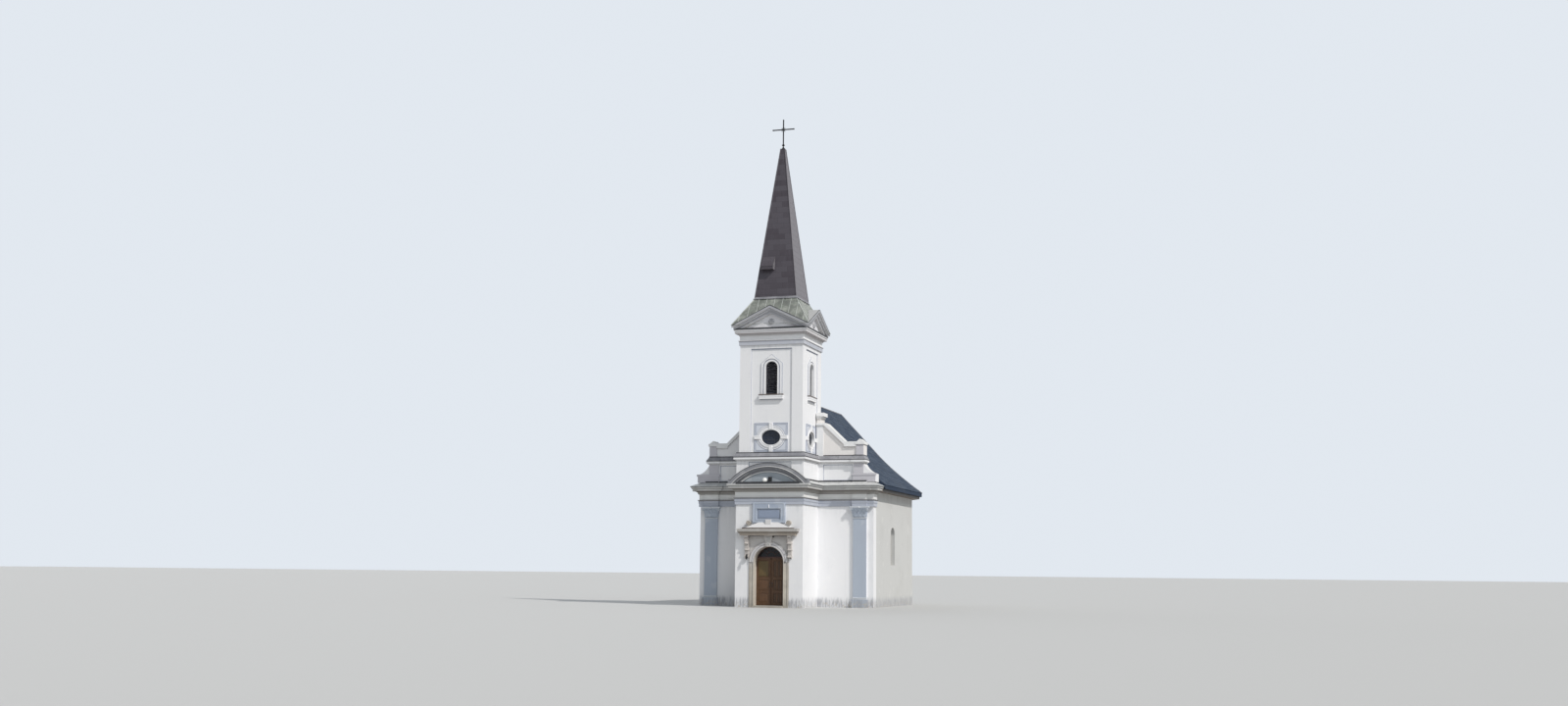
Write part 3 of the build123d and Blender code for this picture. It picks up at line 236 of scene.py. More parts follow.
class Finish:
    """One material under construction, with the maths and the nodes that it is made from."""

    def __init__(self, name, color, roughness, metallic=0.0, specular=None):
        self.material = bpy.data.materials.new(name)
        self.material.use_nodes = True
        self.tree = self.material.node_tree
        self.shader = self.tree.nodes["Principled BSDF"]
        self.shader.inputs["Base Color"].default_value = (*color, 1)
        self.shader.inputs["Roughness"].default_value = roughness
        self.shader.inputs["Metallic"].default_value = metallic
        if specular is not None:
            self.shader.inputs["Specular IOR Level"].default_value = specular

    def node(self, kind, settings=None, inputs=None, output=0):
        """Adds a node, sets it up, then gives its sockets values or links; returns one output."""
        made = self.tree.nodes.new(kind)
        for name, value in (settings or {}).items():
            setattr(made, name, value)
        for name, value in (inputs or {}).items():
            if isinstance(value, Wire):
                self.tree.links.new(value.socket, made.inputs[name])
            else:
                made.inputs[name].default_value = value
        return Wire(self, made.outputs[output])

    def point(self):
        """The place of the point, in metres."""
        return self.node("ShaderNodeTexCoord", output="Object")

    def facing(self):
        """The surface's direction."""
        return self.node("ShaderNodeNewGeometry", output="Normal")

    def split(self, vector):
        """X, Y and Z of a vector."""
        made = self.node("ShaderNodeSeparateXYZ", inputs={0: vector}).socket.node
        return [Wire(self, part) for part in made.outputs]

    def vector(self, operation, first, second):
        return self.node("ShaderNodeVectorMath", {"operation": operation}, {0: first, 1: second})

    def noise(self, point, scale, detail=3.0, roughness=0.55, stretch=None, output=0):
        """Cloudy noise from 0 to 1; stretch scales the pattern's three directions."""
        if stretch:
            point = self.vector("MULTIPLY", point, stretch)
        return self.node("ShaderNodeTexNoise", None, {
            "Vector": point, "Scale": scale, "Detail": detail, "Roughness": roughness}, output)

    def streaks(self, point, scale, detail=4.0, roughness=0.55, drawn=0.10):
        """Noise that is drawn out down the wall."""
        return self.noise(point, scale, detail, roughness, (1.0, 1.0, drawn))

    def speck(self, point, scale, settings=None):
        return self.node("ShaderNodeTexVoronoi", settings, {"Vector": point, "Scale": scale})

    def chance(self, x, y=0.0):
        """A random value from 0 to 1 for each whole-number cell."""
        cell = self.node("ShaderNodeCombineXYZ", inputs={0: x, 1: y})
        return self.node("ShaderNodeTexWhiteNoise", {"noise_dimensions": "3D"}, {"Vector": cell})

    def blend(self, share, first, second):
        """first where share is 0, second where it is 1; both are colours or wires of colours."""
        made = self.tree.nodes.new("ShaderNodeMix")
        made.data_type = "RGBA"
        for index, value in ((0, share), (6, first), (7, second)):
            if isinstance(value, Wire):
                self.tree.links.new(value.socket, made.inputs[index])
            else:
                made.inputs[index].default_value = (*value, 1)
        return Wire(self, made.outputs[2])

    def wear(self, color, roughness=None, height=None, distance=0.01, strength=1.0):
        """Feeds the shader's sockets; height makes a bump with its depth in metres."""
        self.tree.links.new(color.socket, self.shader.inputs["Base Color"])
        if roughness is not None:
            self.tree.links.new(roughness.socket, self.shader.inputs["Roughness"])
        if height is not None:
            bump = self.node("ShaderNodeBump", inputs={"Height": height, "Distance": distance,
                                                       "Strength": strength})
            self.tree.links.new(bump.socket, self.shader.inputs["Normal"])
        return self.material


def darker(color, share):
    """A colour times a number."""
    return tuple(share * part for part in color)


def lime_render(name, color, shade, painted_underside=None, damp=False, ledges=(), bands=(), dust=0.7, portal=False,
                plates=False, field=None):
    """Painted lime render: cloudy tone, repairs, hair cracks, trowel marks, rain streaks and a damp foot.

    color is the clean paint and shade the dirt that runs down it. ledges are heights whose dirt runs
    down the wall below them. bands are stretches of height with a paint of their own. portal leaves
    the stone bare inside the doorway, plates tints the corner plates of the round windows, and field
    gives the sunk ground behind a moulded edge its own paint, from its distance to the tower's axis.
    The colour given for downward faces is painted on them as painted shade; where it is paler than
    color, as on the small pediments, it is painted light.
    """
    finish = Finish(name, color, 0.85)
    point = finish.point()
    x, y, z = finish.split(point)
    up = finish.split(finish.facing())[2]
    cloud = finish.noise(point, 0.7, 5.0)
    grain = finish.noise(point, 45.0, 4.0, 0.7)
    trowel = finish.noise(point, 6.0, stretch=(1.0, 1.0, 0.6))
    streak = finish.streaks(point, 5.0, roughness=0.6, drawn=0.07)
    base = color
    for bottom, top, paint in bands:
        base = finish.blend((z > bottom) * (z < top), base, paint)
    across = (y - axis_y).abs()
    if plates:
        side = x.abs().maths("MINIMUM", x.abs(), across)
        rise = (z - oculus_z).abs()
        oval_share = ((side / (oculus_half_width + oculus_moulding)).squared()
                      + (rise / (oculus_half_height + oculus_moulding)).squared())
        plate = (oval_share > 1.0) * (side > 0.1) * (rise > 0.1) * (z < oculus_z + plate_half_height + 0.005)
        base = finish.blend(plate, base, (0.66, 0.69, 0.755))
    if field:
        reach = x.abs().maths("MAXIMUM", x.abs(), across)
        base = finish.blend((reach < field[0]) * (up.abs() < 0.1), base, field[1])
    dirt = cloud.step(0.5, 0.9) * 0.22 + streak.step(0.55, 0.8) * 0.12
    for ledge in ledges:
        run = (ledge - z).step(0.7, 0.0) * ((ledge - z) > 0.0)
        dirt = dirt + run * streak.step(0.45, 0.65) * 0.30
    paint = finish.blend(dirt, base, shade)
    repair = finish.noise(point, 1.3, 2.0).step(0.63, 0.65)
    paint = finish.blend(repair * 0.10, paint, (0.95, 0.94, 0.90))
    wander = finish.noise(point, 3.0, 2.0, 0.5, output=1)
    crack = finish.speck(finish.vector("ADD", point, wander), 1.1, {"feature": "DISTANCE_TO_EDGE"})
    crack = crack.step(0.006, 0.001) * cloud.step(0.5, 0.65)
    paint = finish.blend(crack * 0.35, paint, shade)
    paint = finish.blend(up.step(0.35, 0.9) * (0.25 + cloud * 0.6) * dust, paint, (0.42, 0.42, 0.38))
    # Downward faces get painted shade, which is paler on the small pediments, as painted light
    if painted_underside:
        paint = finish.blend(up.step(-0.35, -0.9) * 0.85, paint, painted_underside)
    if damp:
        drip = finish.streaks(point, 14.0, roughness=0.6)
        foot = (z + streak * 0.25 + cloud * 0.25).step(0.85, 0.40)
        paint = finish.blend(foot * 0.42, paint, (0.40, 0.41, 0.43))
        paint = finish.blend(drip.step(0.47, 0.58) * z.step(0.62, 0.25) * 0.75, paint, (0.30, 0.31, 0.34))
        flakes = finish.noise(point, 9.0, 5.0, 0.6).step(0.54, 0.57) * z.step(0.45, 0.05)
        paint = finish.blend(flakes * 0.8, paint, (0.50, 0.47, 0.42))
    if portal:
        reveal = (x.abs() < door_half + 0.13) * (y > face_y + 0.004) * (z < door_spring + door_half + 0.14)
        stone = finish.blend(cloud.step(0.3, 0.7), (0.62, 0.57, 0.50), (0.48, 0.44, 0.38))
        paint = finish.blend(reveal, paint, stone)
    height = grain * 0.35 + trowel * 0.9 + cloud * 0.5 - crack * 0.8
    return finish.wear(paint, height=height, distance=0.006, strength=0.55)


white = (0.85, 0.85, 0.86)
soiled = (0.58, 0.59, 0.62)
# Brown painted shade for the undersides of mouldings
brown_painted_shade = (0.17, 0.155, 0.14)
wall_ledges = (order_height, string_foot, band_foot)
wall_render = lime_render("wall render", white, soiled, damp=True, ledges=wall_ledges)
front_render = lime_render("tower front render", white, soiled, damp=True, ledges=wall_ledges, portal=True)
# A warm cream band over the right gable only: the gables' cream paint, kept to the sunlit side as painted
# sunlight
sunlit_gable_render = lime_render("gable render with painted sunlight", white, soiled, damp=True, ledges=wall_ledges,
                           bands=((tower_top - 0.05, tower_top + 5.0, (0.83, 0.80, 0.775)),))
# Nave and apse walls are a darker grey, a painted shade of the trees over them
nave_render_tree_shade = lime_render("nave render with painted tree shade", (0.60, 0.60, 0.585), (0.36, 0.36, 0.335), damp=True,
                          ledges=(wall_head,))
tinted_render = lime_render("blue-grey render", (0.42, 0.47, 0.545), (0.30, 0.33, 0.39), damp=True)
mauve_render = lime_render("mauve render", (0.56, 0.55, 0.585), (0.40, 0.40, 0.42))
capital_render = lime_render("capital render", (0.60, 0.63, 0.67), (0.44, 0.46, 0.50))
# Blue-grey lines in the hollows round panels and windows: painted shade
plate_shade = lime_render("painted shade line render", (0.30, 0.33, 0.41), (0.24, 0.26, 0.32))
plaque_render = lime_render("plaque render", (0.38, 0.43, 0.52), (0.29, 0.32, 0.39))
plaque_trim = lime_render("plaque bead render", (0.52, 0.57, 0.64), (0.40, 0.43, 0.48))
# The dark line round the plaque's panel: painted shade
plaque_shade = lime_render("plaque painted shade line render", (0.16, 0.18, 0.23), (0.12, 0.13, 0.16))
plaque_field = lime_render("plaque panel render", (0.27, 0.32, 0.42), (0.20, 0.23, 0.30))
scroll_render = lime_render("scroll render", (0.47, 0.43, 0.38), (0.36, 0.33, 0.30))
# Moulded render and the hood's brackets, with brown painted shade on their undersides
moulded_render = lime_render("moulded render", (0.82, 0.82, 0.82), (0.52, 0.52, 0.52), brown_painted_shade)
console_render = lime_render("bracket render", (0.56, 0.52, 0.49), (0.36, 0.33, 0.31), brown_painted_shade)
# Cornice: blue-grey paint on the architrave, a dark line of painted shade at its top, a brown band of painted
# shade under the corona, a grey corona face and brown painted shade on the undersides
cornice_render = lime_render(
    "cornice render", (0.80, 0.80, 0.79), (0.50, 0.50, 0.50), brown_painted_shade,
    bands=((order_height - 0.01, architrave_top - 0.06, (0.47, 0.50, 0.57)),
           (architrave_top - 0.06, architrave_top + 0.005, (0.30, 0.30, 0.32)),
           (corona_top - 0.38, corona_top - 0.20, (0.34, 0.325, 0.31)),
           (corona_top - 0.20, corona_top + 0.01, (0.57, 0.57, 0.56))))
# Belfry cornice: blue-grey paint on the band, a grey band under the top cornice, and painted shade on the
# undersides
belfry_trim = lime_render(
    "belfry cornice render", (0.84, 0.84, 0.85), (0.55, 0.55, 0.56), (0.36, 0.34, 0.34),
    bands=((band_foot - 0.01, band_top - 0.02, (0.50, 0.52, 0.575)),
           (belfry_top - 0.30, belfry_top - 0.14, (0.50, 0.48, 0.49))))
# Window surrounds, with painted shade on their undersides
surround_render = lime_render("window surround render", (0.86, 0.86, 0.87), (0.60, 0.60, 0.62),
                              (0.40, 0.36, 0.33), plates=True, dust=0.3)
# Hood: a brownish bed, a dark line of painted shade under its fillet, a grey-beige corona, a near-black line
# of painted shade at the foot of the pale cap, and brown painted shade on the undersides
hood_render = lime_render(
    "hood render", (0.80, 0.80, 0.79), (0.52, 0.52, 0.52), brown_painted_shade, dust=0.08,
    bands=((hood_foot - 0.01, hood_foot + 0.175, (0.44, 0.38, 0.32)),
           (hood_foot + 0.175, hood_foot + 0.212, (0.13, 0.12, 0.12)),
           (hood_foot + 0.212, hood_top, (0.55, 0.53, 0.50)),
           (hood_top, hood_top + 0.045, (0.09, 0.08, 0.08)),
           (hood_top + 0.045, hood_top + 0.60, (0.70, 0.69, 0.69))))
# Curved pediment: a dark grey band round a blue-grey field, with painted shade on its undersides
segment_render = lime_render("curved pediment render", (0.245, 0.25, 0.27), (0.18, 0.185, 0.20),
                             (0.19, 0.18, 0.17), field=(axis_y - face_y + 0.14, (0.36, 0.40, 0.44)))
# Small pediments: grey rakes round a pale tympanum, their undersides painted paler as painted light
pediment_render = lime_render("pediment render", (0.42, 0.425, 0.45), (0.33, 0.33, 0.35),
                              (0.62, 0.61, 0.61), field=(tympanum_half + 0.06, (0.78, 0.775, 0.80)))


def dressed_stone(name, light, dark):
    """Dressed stone with fine pores and faint bedding, darker near the ground, with painted shade on downward
    faces and, greyer towards the arch, painted shadow of the hood.
    """
    finish = Finish(name, light, 0.8)
    point = finish.point()
    z = finish.split(point)[2]
    up = finish.split(finish.facing())[2]
    cloud = finish.noise(point, 2.2, 5.0)
    bed = finish.noise(point, 3.0, 4.0, stretch=(1.0, 1.0, 9.0))
    pores = finish.speck(point, 160.0).step(0.0, 0.35)
    color = finish.blend(cloud.step(0.3, 0.75), light, dark)
    # Greyer towards the arch: painted shadow of the hood
    color = finish.blend(z.step(door_spring - 0.5, door_spring + 0.3) * 0.55, color, (0.56, 0.55, 0.57))
    color = finish.blend(bed.step(0.5, 0.7) * 0.3, color, (0.52, 0.46, 0.38))
    color = finish.blend(z.step(0.7, 0.0) * 0.6, color, (0.27, 0.25, 0.22))
    # Downward faces darker: painted shade
    color = finish.blend(up.step(-0.4, -0.9) * 0.6, color, (0.22, 0.20, 0.18))
    color = finish.blend(up.step(0.4, 0.9) * 0.4, color, (0.40, 0.40, 0.36))
    return finish.wear(color, height=pores * 0.4 + cloud * 0.6 + bed * 0.4, distance=0.004, strength=0.6)


portal_stone = dressed_stone("portal stone", (0.60, 0.56, 0.49), (0.47, 0.43, 0.37))
pale_stone = dressed_stone("archivolt stone", (0.78, 0.77, 0.77), (0.62, 0.61, 0.62))
# Dark stone for the hollows round the portal: painted shade
shade_line_stone = dressed_stone("portal painted shade stone", (0.20, 0.18, 0.165), (0.14, 0.13, 0.12))
keystone_stone = dressed_stone("keystone stone", (0.50, 0.50, 0.44), (0.40, 0.41, 0.36))


def coursed_sheet(name, color, worn, course, bay, roughness):
    """Painted sheet in level courses with staggered joints, each with its own tone, painted paler on faces
    towards +X as painted sunlight.
    """
    finish = Finish(name, color, roughness, specular=0.25)
    point = finish.point()
    x, y, z = finish.split(point)
    lit_side = finish.split(finish.facing())[0]
    level = z / course
    row = level.floor()
    along = (x + y) / bay + row * 0.5
    tone = finish.chance(row, along.floor())
    line = level.fract().step(0.06, 0.0)
    joint = (along.fract() - 0.5).abs().step(0.47, 0.5)
    cloud = finish.noise(point, 1.6, 5.0)
    run = finish.streaks(point, 7.0, drawn=0.08)
    tint = finish.blend(tone * 0.8, color, worn)
    tint = finish.blend(run.step(0.5, 0.75) * 0.35 + cloud.step(0.5, 0.8) * 0.25, tint, worn)
    # Faces towards +X painted paler: painted sunlight
    tint = finish.blend(lit_side.step(0.6, 0.95) * 0.6, tint, (0.30, 0.29, 0.31))
    tint = finish.blend((line + joint * 0.5) * 0.6, tint, darker(color, 0.35))
    rough = cloud * 0.25 + tone * 0.1 + (roughness - 0.15)
    height = tone * 0.3 + (1 - line) * 0.8 + (1 - joint) * 0.4
    return finish.wear(tint, rough, height, distance=0.006, strength=0.7)


course_rise = 0.30
spire_sheet = coursed_sheet("spire sheet", (0.064, 0.055, 0.066), (0.104, 0.096, 0.112),
                            course=course_rise, bay=0.65, roughness=0.55)


def patina_sheet(name, base, pale, green):
    """Weathered sheet with green-grey patina clouds and runs."""
    finish = Finish(name, base, 0.55)
    point = finish.point()
    cloud = finish.noise(point, 1.8, 6.0, 0.65)
    blotch = finish.noise(point, 6.0, 5.0, 0.6)
    run = finish.streaks(point, 9.0)
    color = finish.blend(cloud.step(0.35, 0.7), base, pale)
    color = finish.blend(blotch.step(0.52, 0.72) * 0.7, color, green)
    color = finish.blend(run.step(0.55, 0.75) * 0.5, color, darker(base, 0.55))
    return finish.wear(color, cloud * 0.3 + 0.4, blotch * 0.5 + run * 0.5, distance=0.003)


skirt_sheet = patina_sheet("patinated sheet", (0.14, 0.15, 0.135), (0.33, 0.345, 0.31), (0.18, 0.22, 0.175))
capping_sheet = patina_sheet("capping sheet", (0.46, 0.47, 0.47), (0.62, 0.62, 0.61), (0.36, 0.39, 0.35))
flashing_sheet = patina_sheet("lead flashing", (0.22, 0.22, 0.24), (0.32, 0.32, 0.34), (0.18, 0.19, 0.19))
# Nearly black sheet for sheet and pediment edges: real sheet lips, made this dark as painted shade
dark_sheet_painted_shade = patina_sheet("dark sheet edge with painted shade", (0.028, 0.028, 0.032), (0.05, 0.05, 0.055),
                          (0.034, 0.038, 0.036))
seam_sheet = patina_sheet("seam sheet", (0.36, 0.38, 0.36), (0.52, 0.54, 0.51), (0.34, 0.40, 0.35))
brown_sheet = patina_sheet("brown sill sheet", (0.10, 0.072, 0.060), (0.15, 0.115, 0.095),
                           (0.09, 0.075, 0.06))
hatch_sheet = patina_sheet("hatch sheet", (0.06, 0.052, 0.060), (0.10, 0.09, 0.10), (0.05, 0.05, 0.05))


def slate():
    """Dark blue-grey slates: each has its own tone, with lichen specks and paler cloudy patches."""
    finish = Finish("roof slate", (0.03, 0.045, 0.075), 0.5, specular=0.12)
    point = finish.point()
    tone = finish.node("ShaderNodeAttribute", {"attribute_name": "tone"}, output="Fac")
    cloud = finish.noise(point, 0.9, 5.0)
    grain = finish.noise(point, 40.0, 5.0, 0.7)
    lichen = finish.noise(point, 14.0, 6.0, 0.7).step(0.62, 0.68)
    color = finish.blend(tone, (0.020, 0.034, 0.062), (0.050, 0.070, 0.104))
    color = finish.blend(cloud.step(0.45, 0.75) * 0.4, color, (0.065, 0.078, 0.092))
    color = finish.blend(lichen * 0.35, color, (0.16, 0.17, 0.13))
    return finish.wear(color, grain * 0.25 + 0.50, grain, distance=0.003, strength=0.6)


roof_slate = slate()


def timber(name, dark, light, boards=0.0, upright=True, roughness=0.5):
    """Wood with grain along its length; boards is the width of each board, 0 for none."""
    finish = Finish(name, dark, roughness)
    point = finish.point()
    stretch = (1.0, 1.0, 0.06) if upright else (0.06, 0.06, 1.0)
    grain = finish.noise(point, 55.0, 6.0, 0.65, stretch=stretch)
    cloud = finish.noise(point, 3.0, 4.0, stretch=stretch)
    color = finish.blend(grain.step(0.3, 0.75), dark, light)
    color = finish.blend(cloud.step(0.45, 0.8) * 0.5, color, darker(dark, 0.6))
    height = grain * 0.6
    if boards:
        across = finish.split(point)[0] / boards
        color = finish.blend(finish.chance(across.floor(), 3.0) * 0.35, color, darker(dark, 0.5))
        seam = (across.fract() - 0.5).abs().step(0.46, 0.5)
        color = finish.blend(seam * 0.8, color, darker(dark, 0.15))
        height = height - seam * 2.0
    return finish.wear(color, grain * 0.2 + (roughness - 0.1), height, distance=0.003)


door_wood = timber("door oak", (0.066, 0.031, 0.013), (0.138, 0.068, 0.030))
olive_wood = timber("door panel oak", (0.082, 0.054, 0.018), (0.150, 0.100, 0.038))
dark_wood = timber("door boards oak", (0.044, 0.023, 0.011), (0.092, 0.050, 0.024))
fanlight_paint = timber("fanlight paint", (0.045, 0.016, 0.011), (0.085, 0.032, 0.022))
eaves_wood = timber("eaves boards", (0.11, 0.075, 0.05), (0.17, 0.12, 0.085), boards=0.16, upright=False)
louvre_wood = timber("louvre boards", (0.022, 0.024, 0.034), (0.045, 0.047, 0.060), upright=False,
                     roughness=0.7)
frame_paint = timber("window paint", (0.42, 0.41, 0.38), (0.52, 0.51, 0.48), roughness=0.45)
bar_paint = timber("round window paint", (0.045, 0.050, 0.062), (0.070, 0.078, 0.095))


def ironwork():
    """Black iron with a rubbed hammered face and a little rust."""
    finish = Finish("wrought iron", (0.03, 0.03, 0.032), 0.45, metallic=0.6)
    point = finish.point()
    dents = finish.noise(point, 60.0)
    rust = finish.noise(point, 12.0, 6.0, 0.7).step(0.58, 0.7)
    color = finish.blend(rust * 0.6, (0.03, 0.03, 0.033), (0.10, 0.045, 0.022))
    return finish.wear(color, rust * 0.3 + 0.4, dents, distance=0.002)


iron = ironwork()


def pane(name, color, roughness=0.06):
    """Old window glass: dark behind, slightly wavy, with dust."""
    finish = Finish(name, color, roughness, specular=0.3)
    point = finish.point()
    wave = finish.noise(point, 2.5, 2.0)
    dust = finish.noise(point, 7.0, 5.0)
    tint = finish.blend(dust.step(0.5, 0.8) * 0.2, color, (0.10, 0.10, 0.11))
    return finish.wear(tint, dust * 0.2 + roughness, wave, strength=0.3)


dark_pane = pane("dark glass", (0.010, 0.011, 0.014))
grey_pane = pane("oculus glass", (0.020, 0.028, 0.045), 0.15)
lantern_pane = pane("lantern glass", (0.035, 0.035, 0.038), 0.2)


def milk_glass():
    """White lamp globe."""
    finish = Finish("lamp globe", (0.86, 0.86, 0.84), 0.2)
    soil = finish.noise(finish.point(), 18.0, 4.0).step(0.5, 0.8)
    return finish.wear(finish.blend(soil * 0.3, (0.88, 0.88, 0.86), (0.55, 0.54, 0.50)))


globe_glass = milk_glass()

finishes = {
    front_render: ["tower_front_piers", "tower_front_over"],
    wall_render: ["tower_wall_left", "tower_wall_right", "tower_back_wall", "facade_left",
                  "belfry_front", "belfry_right", "belfry_back", "belfry_left"],
    sunlit_gable_render: ["facade_right"],
    console_render: ["hood_consoles"],
    nave_render_tree_shade: ["nave_wall_left", "nave_wall_right", "apse_wall_left", "apse_wall_right",
                  "apse_wall_back", "tower_floor", "nave_floor"],
    tinted_render: ["pilasters", "capitals"],
    mauve_render: ["attic_piers"],
    plaque_render: ["plaque"],
    cornice_render: ["main_cornice"],
    belfry_trim: ["belfry_cornice"],
    moulded_render: ["string_course", "gable_crest"],
    surround_render: ["belfry_surrounds"],
    hood_render: ["door_hood"],
    scroll_render: ["plaque_scrolls"],
    segment_render: ["segmental_pediment"],
    pediment_render: ["tower_pediments"],
    portal_stone: ["portal_surround", "keystone", "threshold"],
    spire_sheet: ["spire", "spire_hatch"],
    skirt_sheet: ["skirt_roof"],
    capping_sheet: ["cornice_capping"],
    roof_slate: ["nave_roof", "apse_roof"],
    eaves_wood: ["nave_eaves"],
    door_wood: ["door_leaf_left", "door_leaf_right"],
    fanlight_paint: ["fanlight_frame"],
    louvre_wood: ["belfry_louvres"],
    frame_paint: ["window_frames"],
    dark_pane: ["window_glass", "fanlight_glass"],
    grey_pane: ["oculus_glass"],
    iron: ["cross", "door_pintles", "wall_lantern"],
    globe_glass: ["floodlight"],
}
for material, names in finishes.items():
    for name in names:
        nodes[name].data.materials.clear()
        nodes[name].data.materials.append(material)


# Directions
upward = np.array([0.0, 0.0, 1.0])
to_right = (1.0, 0.0, 0.0)
to_back = (0.0, 1.0, 0.0)


def grid_quads(rows, columns, wrap_rows=False, wrap_columns=False):
    """Corner numbers of the quads between the rows and columns of a grid of points."""
    row, column = np.meshgrid(np.arange(rows if wrap_rows else rows - 1),
                              np.arange(columns if wrap_columns else columns - 1), indexing="ij")
    next_row, next_column = (row + 1) % rows, (column + 1) % columns
    return np.stack([row * columns + column, row * columns + next_column,
                     next_row * columns + next_column, next_row * columns + column], -1).reshape(-1, 4)


def box_quads(count, sides):
    """Corner numbers of the faces of many bodies of eight corners, from the faces of one."""
    return (np.arange(count)[:, None, None] * 8 + np.array(sides)[None]).reshape(-1, 4).tolist()


class Surface:
    """Points and faces gathered for one piece."""

    def __init__(self):
        self.points = []
        self.faces = []
        self.tones = []
        self.count = 0

    def put(self, points, faces, tone=0.0):
        """Adds points and faces; tone is one number or one per point, which a material can read."""
        points = np.asarray(points, float).reshape(-1, 3)
        self.points.append(points)
        self.faces += [[corner + self.count for corner in face] for face in faces]
        self.tones.append(np.broadcast_to(tone, len(points)))
        self.count += len(points)
        return self

    def grid(self, points, wrap_rows=False, wrap_columns=False, ends=False):
        """Adds a grid of points; ends closes the first and last row of a tube with a flat face."""
        rows, columns = points.shape[:2]
        faces = grid_quads(rows, columns, wrap_rows, wrap_columns).tolist()
        if ends:
            faces.append(list(range(columns))[::-1])
            faces.append(list(range((rows - 1) * columns, rows * columns)))
        return self.put(points, faces)

    def block(self, corner, first, second, third):
        """A box-shaped body from a corner and three edge vectors."""
        use = np.array([[i, j, k] for k in (0, 1) for j in (0, 1) for i in (0, 1)])
        points = np.asarray(corner, float) + use @ np.array([first, second, third], float)
        return self.put(points, box_quads(1, [[0, 2, 3, 1], [4, 5, 7, 6], [0, 1, 5, 4],
                                              [2, 6, 7, 3], [0, 4, 6, 2], [1, 3, 7, 5]]))

    def bar(self, path, radius, sides=6, closed=False, guide=to_back):
        """A round bar along a path, see tube()."""
        return self.grid(tube(path, radius, sides, closed, guide), closed, True, not closed)

    def scroll(self, centre, along, up, size, thickness=(0.016, 0.006), turns=2.1, guide=to_back):
        """A round bar that thins along a spiral."""
        path = spiral(centre, along, up, size, turns)
        return self.bar(path, np.linspace(*thickness, len(path)), guide=guide)

    def lathe(self, profile, centre, sides, axis="z"):
        """A turned body, see turned()."""
        return self.grid(turned(profile, centre, sides, axis), wrap_columns=True, ends=True)

    def moulding(self, path, profile, closed=False):
        """A closed profile of (outward, height) points along a plan path, see mitred()."""
        return self.grid(mitred(path, profile, closed), closed, True, not closed)

    def frame(self, x_range, z_range, y, profile):
        """A rectangular frame on a wall that faces the front, from a closed profile of (inset, proud)."""
        return self.grid(nested(x_range, z_range, y, profile), wrap_rows=True, wrap_columns=True)

    def field(self, x_range, z_range, y, profile):
        """A closed raised field on a wall that faces the front, from its edge to its middle."""
        return self.grid(nested(x_range, z_range, y, profile), wrap_columns=True, ends=True)

    def round_tower(self, sides=(0, 1, 2, 3)):
        """What is gathered so far, on some sides of the tower, in quarter turns from the front."""
        again = Surface()
        for quarters in sides:
            points = quarter_turned(np.concatenate(self.points), quarters)
            again.put(points, self.faces, np.concatenate(self.tones))
        return again

    def join(self, other):
        """Adds all that another surface has gathered."""
        return self.put(np.concatenate(other.points), other.faces, np.concatenate(other.tones))

    def piece(self, name, finish, slot, body="church", smooth=None, bevel=0.0, thick=0.0):
        """Makes the piece: smooth is the greatest angle in degrees that is shaded as a curve."""
        mesh = bpy.data.meshes.new(name)
        mesh.from_pydata(np.concatenate(self.points).tolist(), [], self.faces)
        tone = mesh.attributes.new("tone", "FLOAT", "POINT")
        tone.data.foreach_set("value", np.concatenate(self.tones).astype(np.float32))
        shell = bmesh.new()
        shell.from_mesh(mesh)
        bmesh.ops.remove_doubles(shell, verts=shell.verts, dist=1e-5)
        bmesh.ops.recalc_face_normals(shell, faces=shell.faces)
        shell.to_mesh(mesh)
        shell.free()
        if smooth:
            mesh.shade_smooth()
            mesh.set_sharp_from_angle(angle=math.radians(smooth))
        mesh.materials.append(finish)
        made = bpy.data.objects.new(name, mesh)
        bpy.context.scene.collection.objects.link(made)
        if thick:
            wall = made.modifiers.new("thickness", "SOLIDIFY")
            wall.thickness = thick
            wall.offset = 0
        if bevel:
            edge = made.modifiers.new("edge", "BEVEL")
            edge.width = bevel
            edge.segments = 2
            edge.limit_method = "ANGLE"
        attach(made, body)
        return made


def quarter_turned(points, quarters):
    """Points of the tower's front side on another side, in quarter turns."""
    x, y, z = np.asarray(points, float).T
    for _ in range(quarters):
        x, y = axis_y - y, x + axis_y
    return np.stack([x, y, z], -1)


def mitred(path, profile, closed=False):
    """Grid of a moulding: (outward, height) points carried along a plan path, its corners mitred.

    Outward is to the left of the path. At a corner a point moves along the sum of the two outward
    directions, divided by 1 plus their dot product, so that both runs keep their width.
    """
    path, profile = np.asarray(path, float), np.asarray(profile, float)
    ahead = np.roll(path, -1, 0) - path if closed else np.diff(path, axis=0)
    ahead /= np.linalg.norm(ahead, axis=1, keepdims=True)
    left = np.stack([-ahead[:, 1], ahead[:, 0]], -1)
    before = np.roll(left, 1, 0) if closed else left[[0, *range(len(left))]]
    after = left if closed else left[[*range(len(left)), -1]]
    mitre = (before + after) / (1 + (before * after).sum(1, keepdims=True))
    points = np.empty((len(path), len(profile), 3))
    points[..., :2] = path[:, None] + mitre[:, None] * profile[None, :, :1]
    points[..., 2] = profile[:, 1]
    return points


def nested(x_range, z_range, y, profile):
    """Grid of rectangles one inside the other: a point (inset, proud) makes the rectangle x_range by
    z_range, drawn in by inset, at proud in front of y."""
    inset, proud = np.asarray(profile, float).T
    left, right = x_range[0] + inset, x_range[1] - inset
    bottom, top = z_range[0] + inset, z_range[1] - inset
    depth = y - proud
    corners = ((left, depth, bottom), (right, depth, bottom), (right, depth, top), (left, depth, top))
    return np.stack([np.stack(corner, -1) for corner in corners], 1)


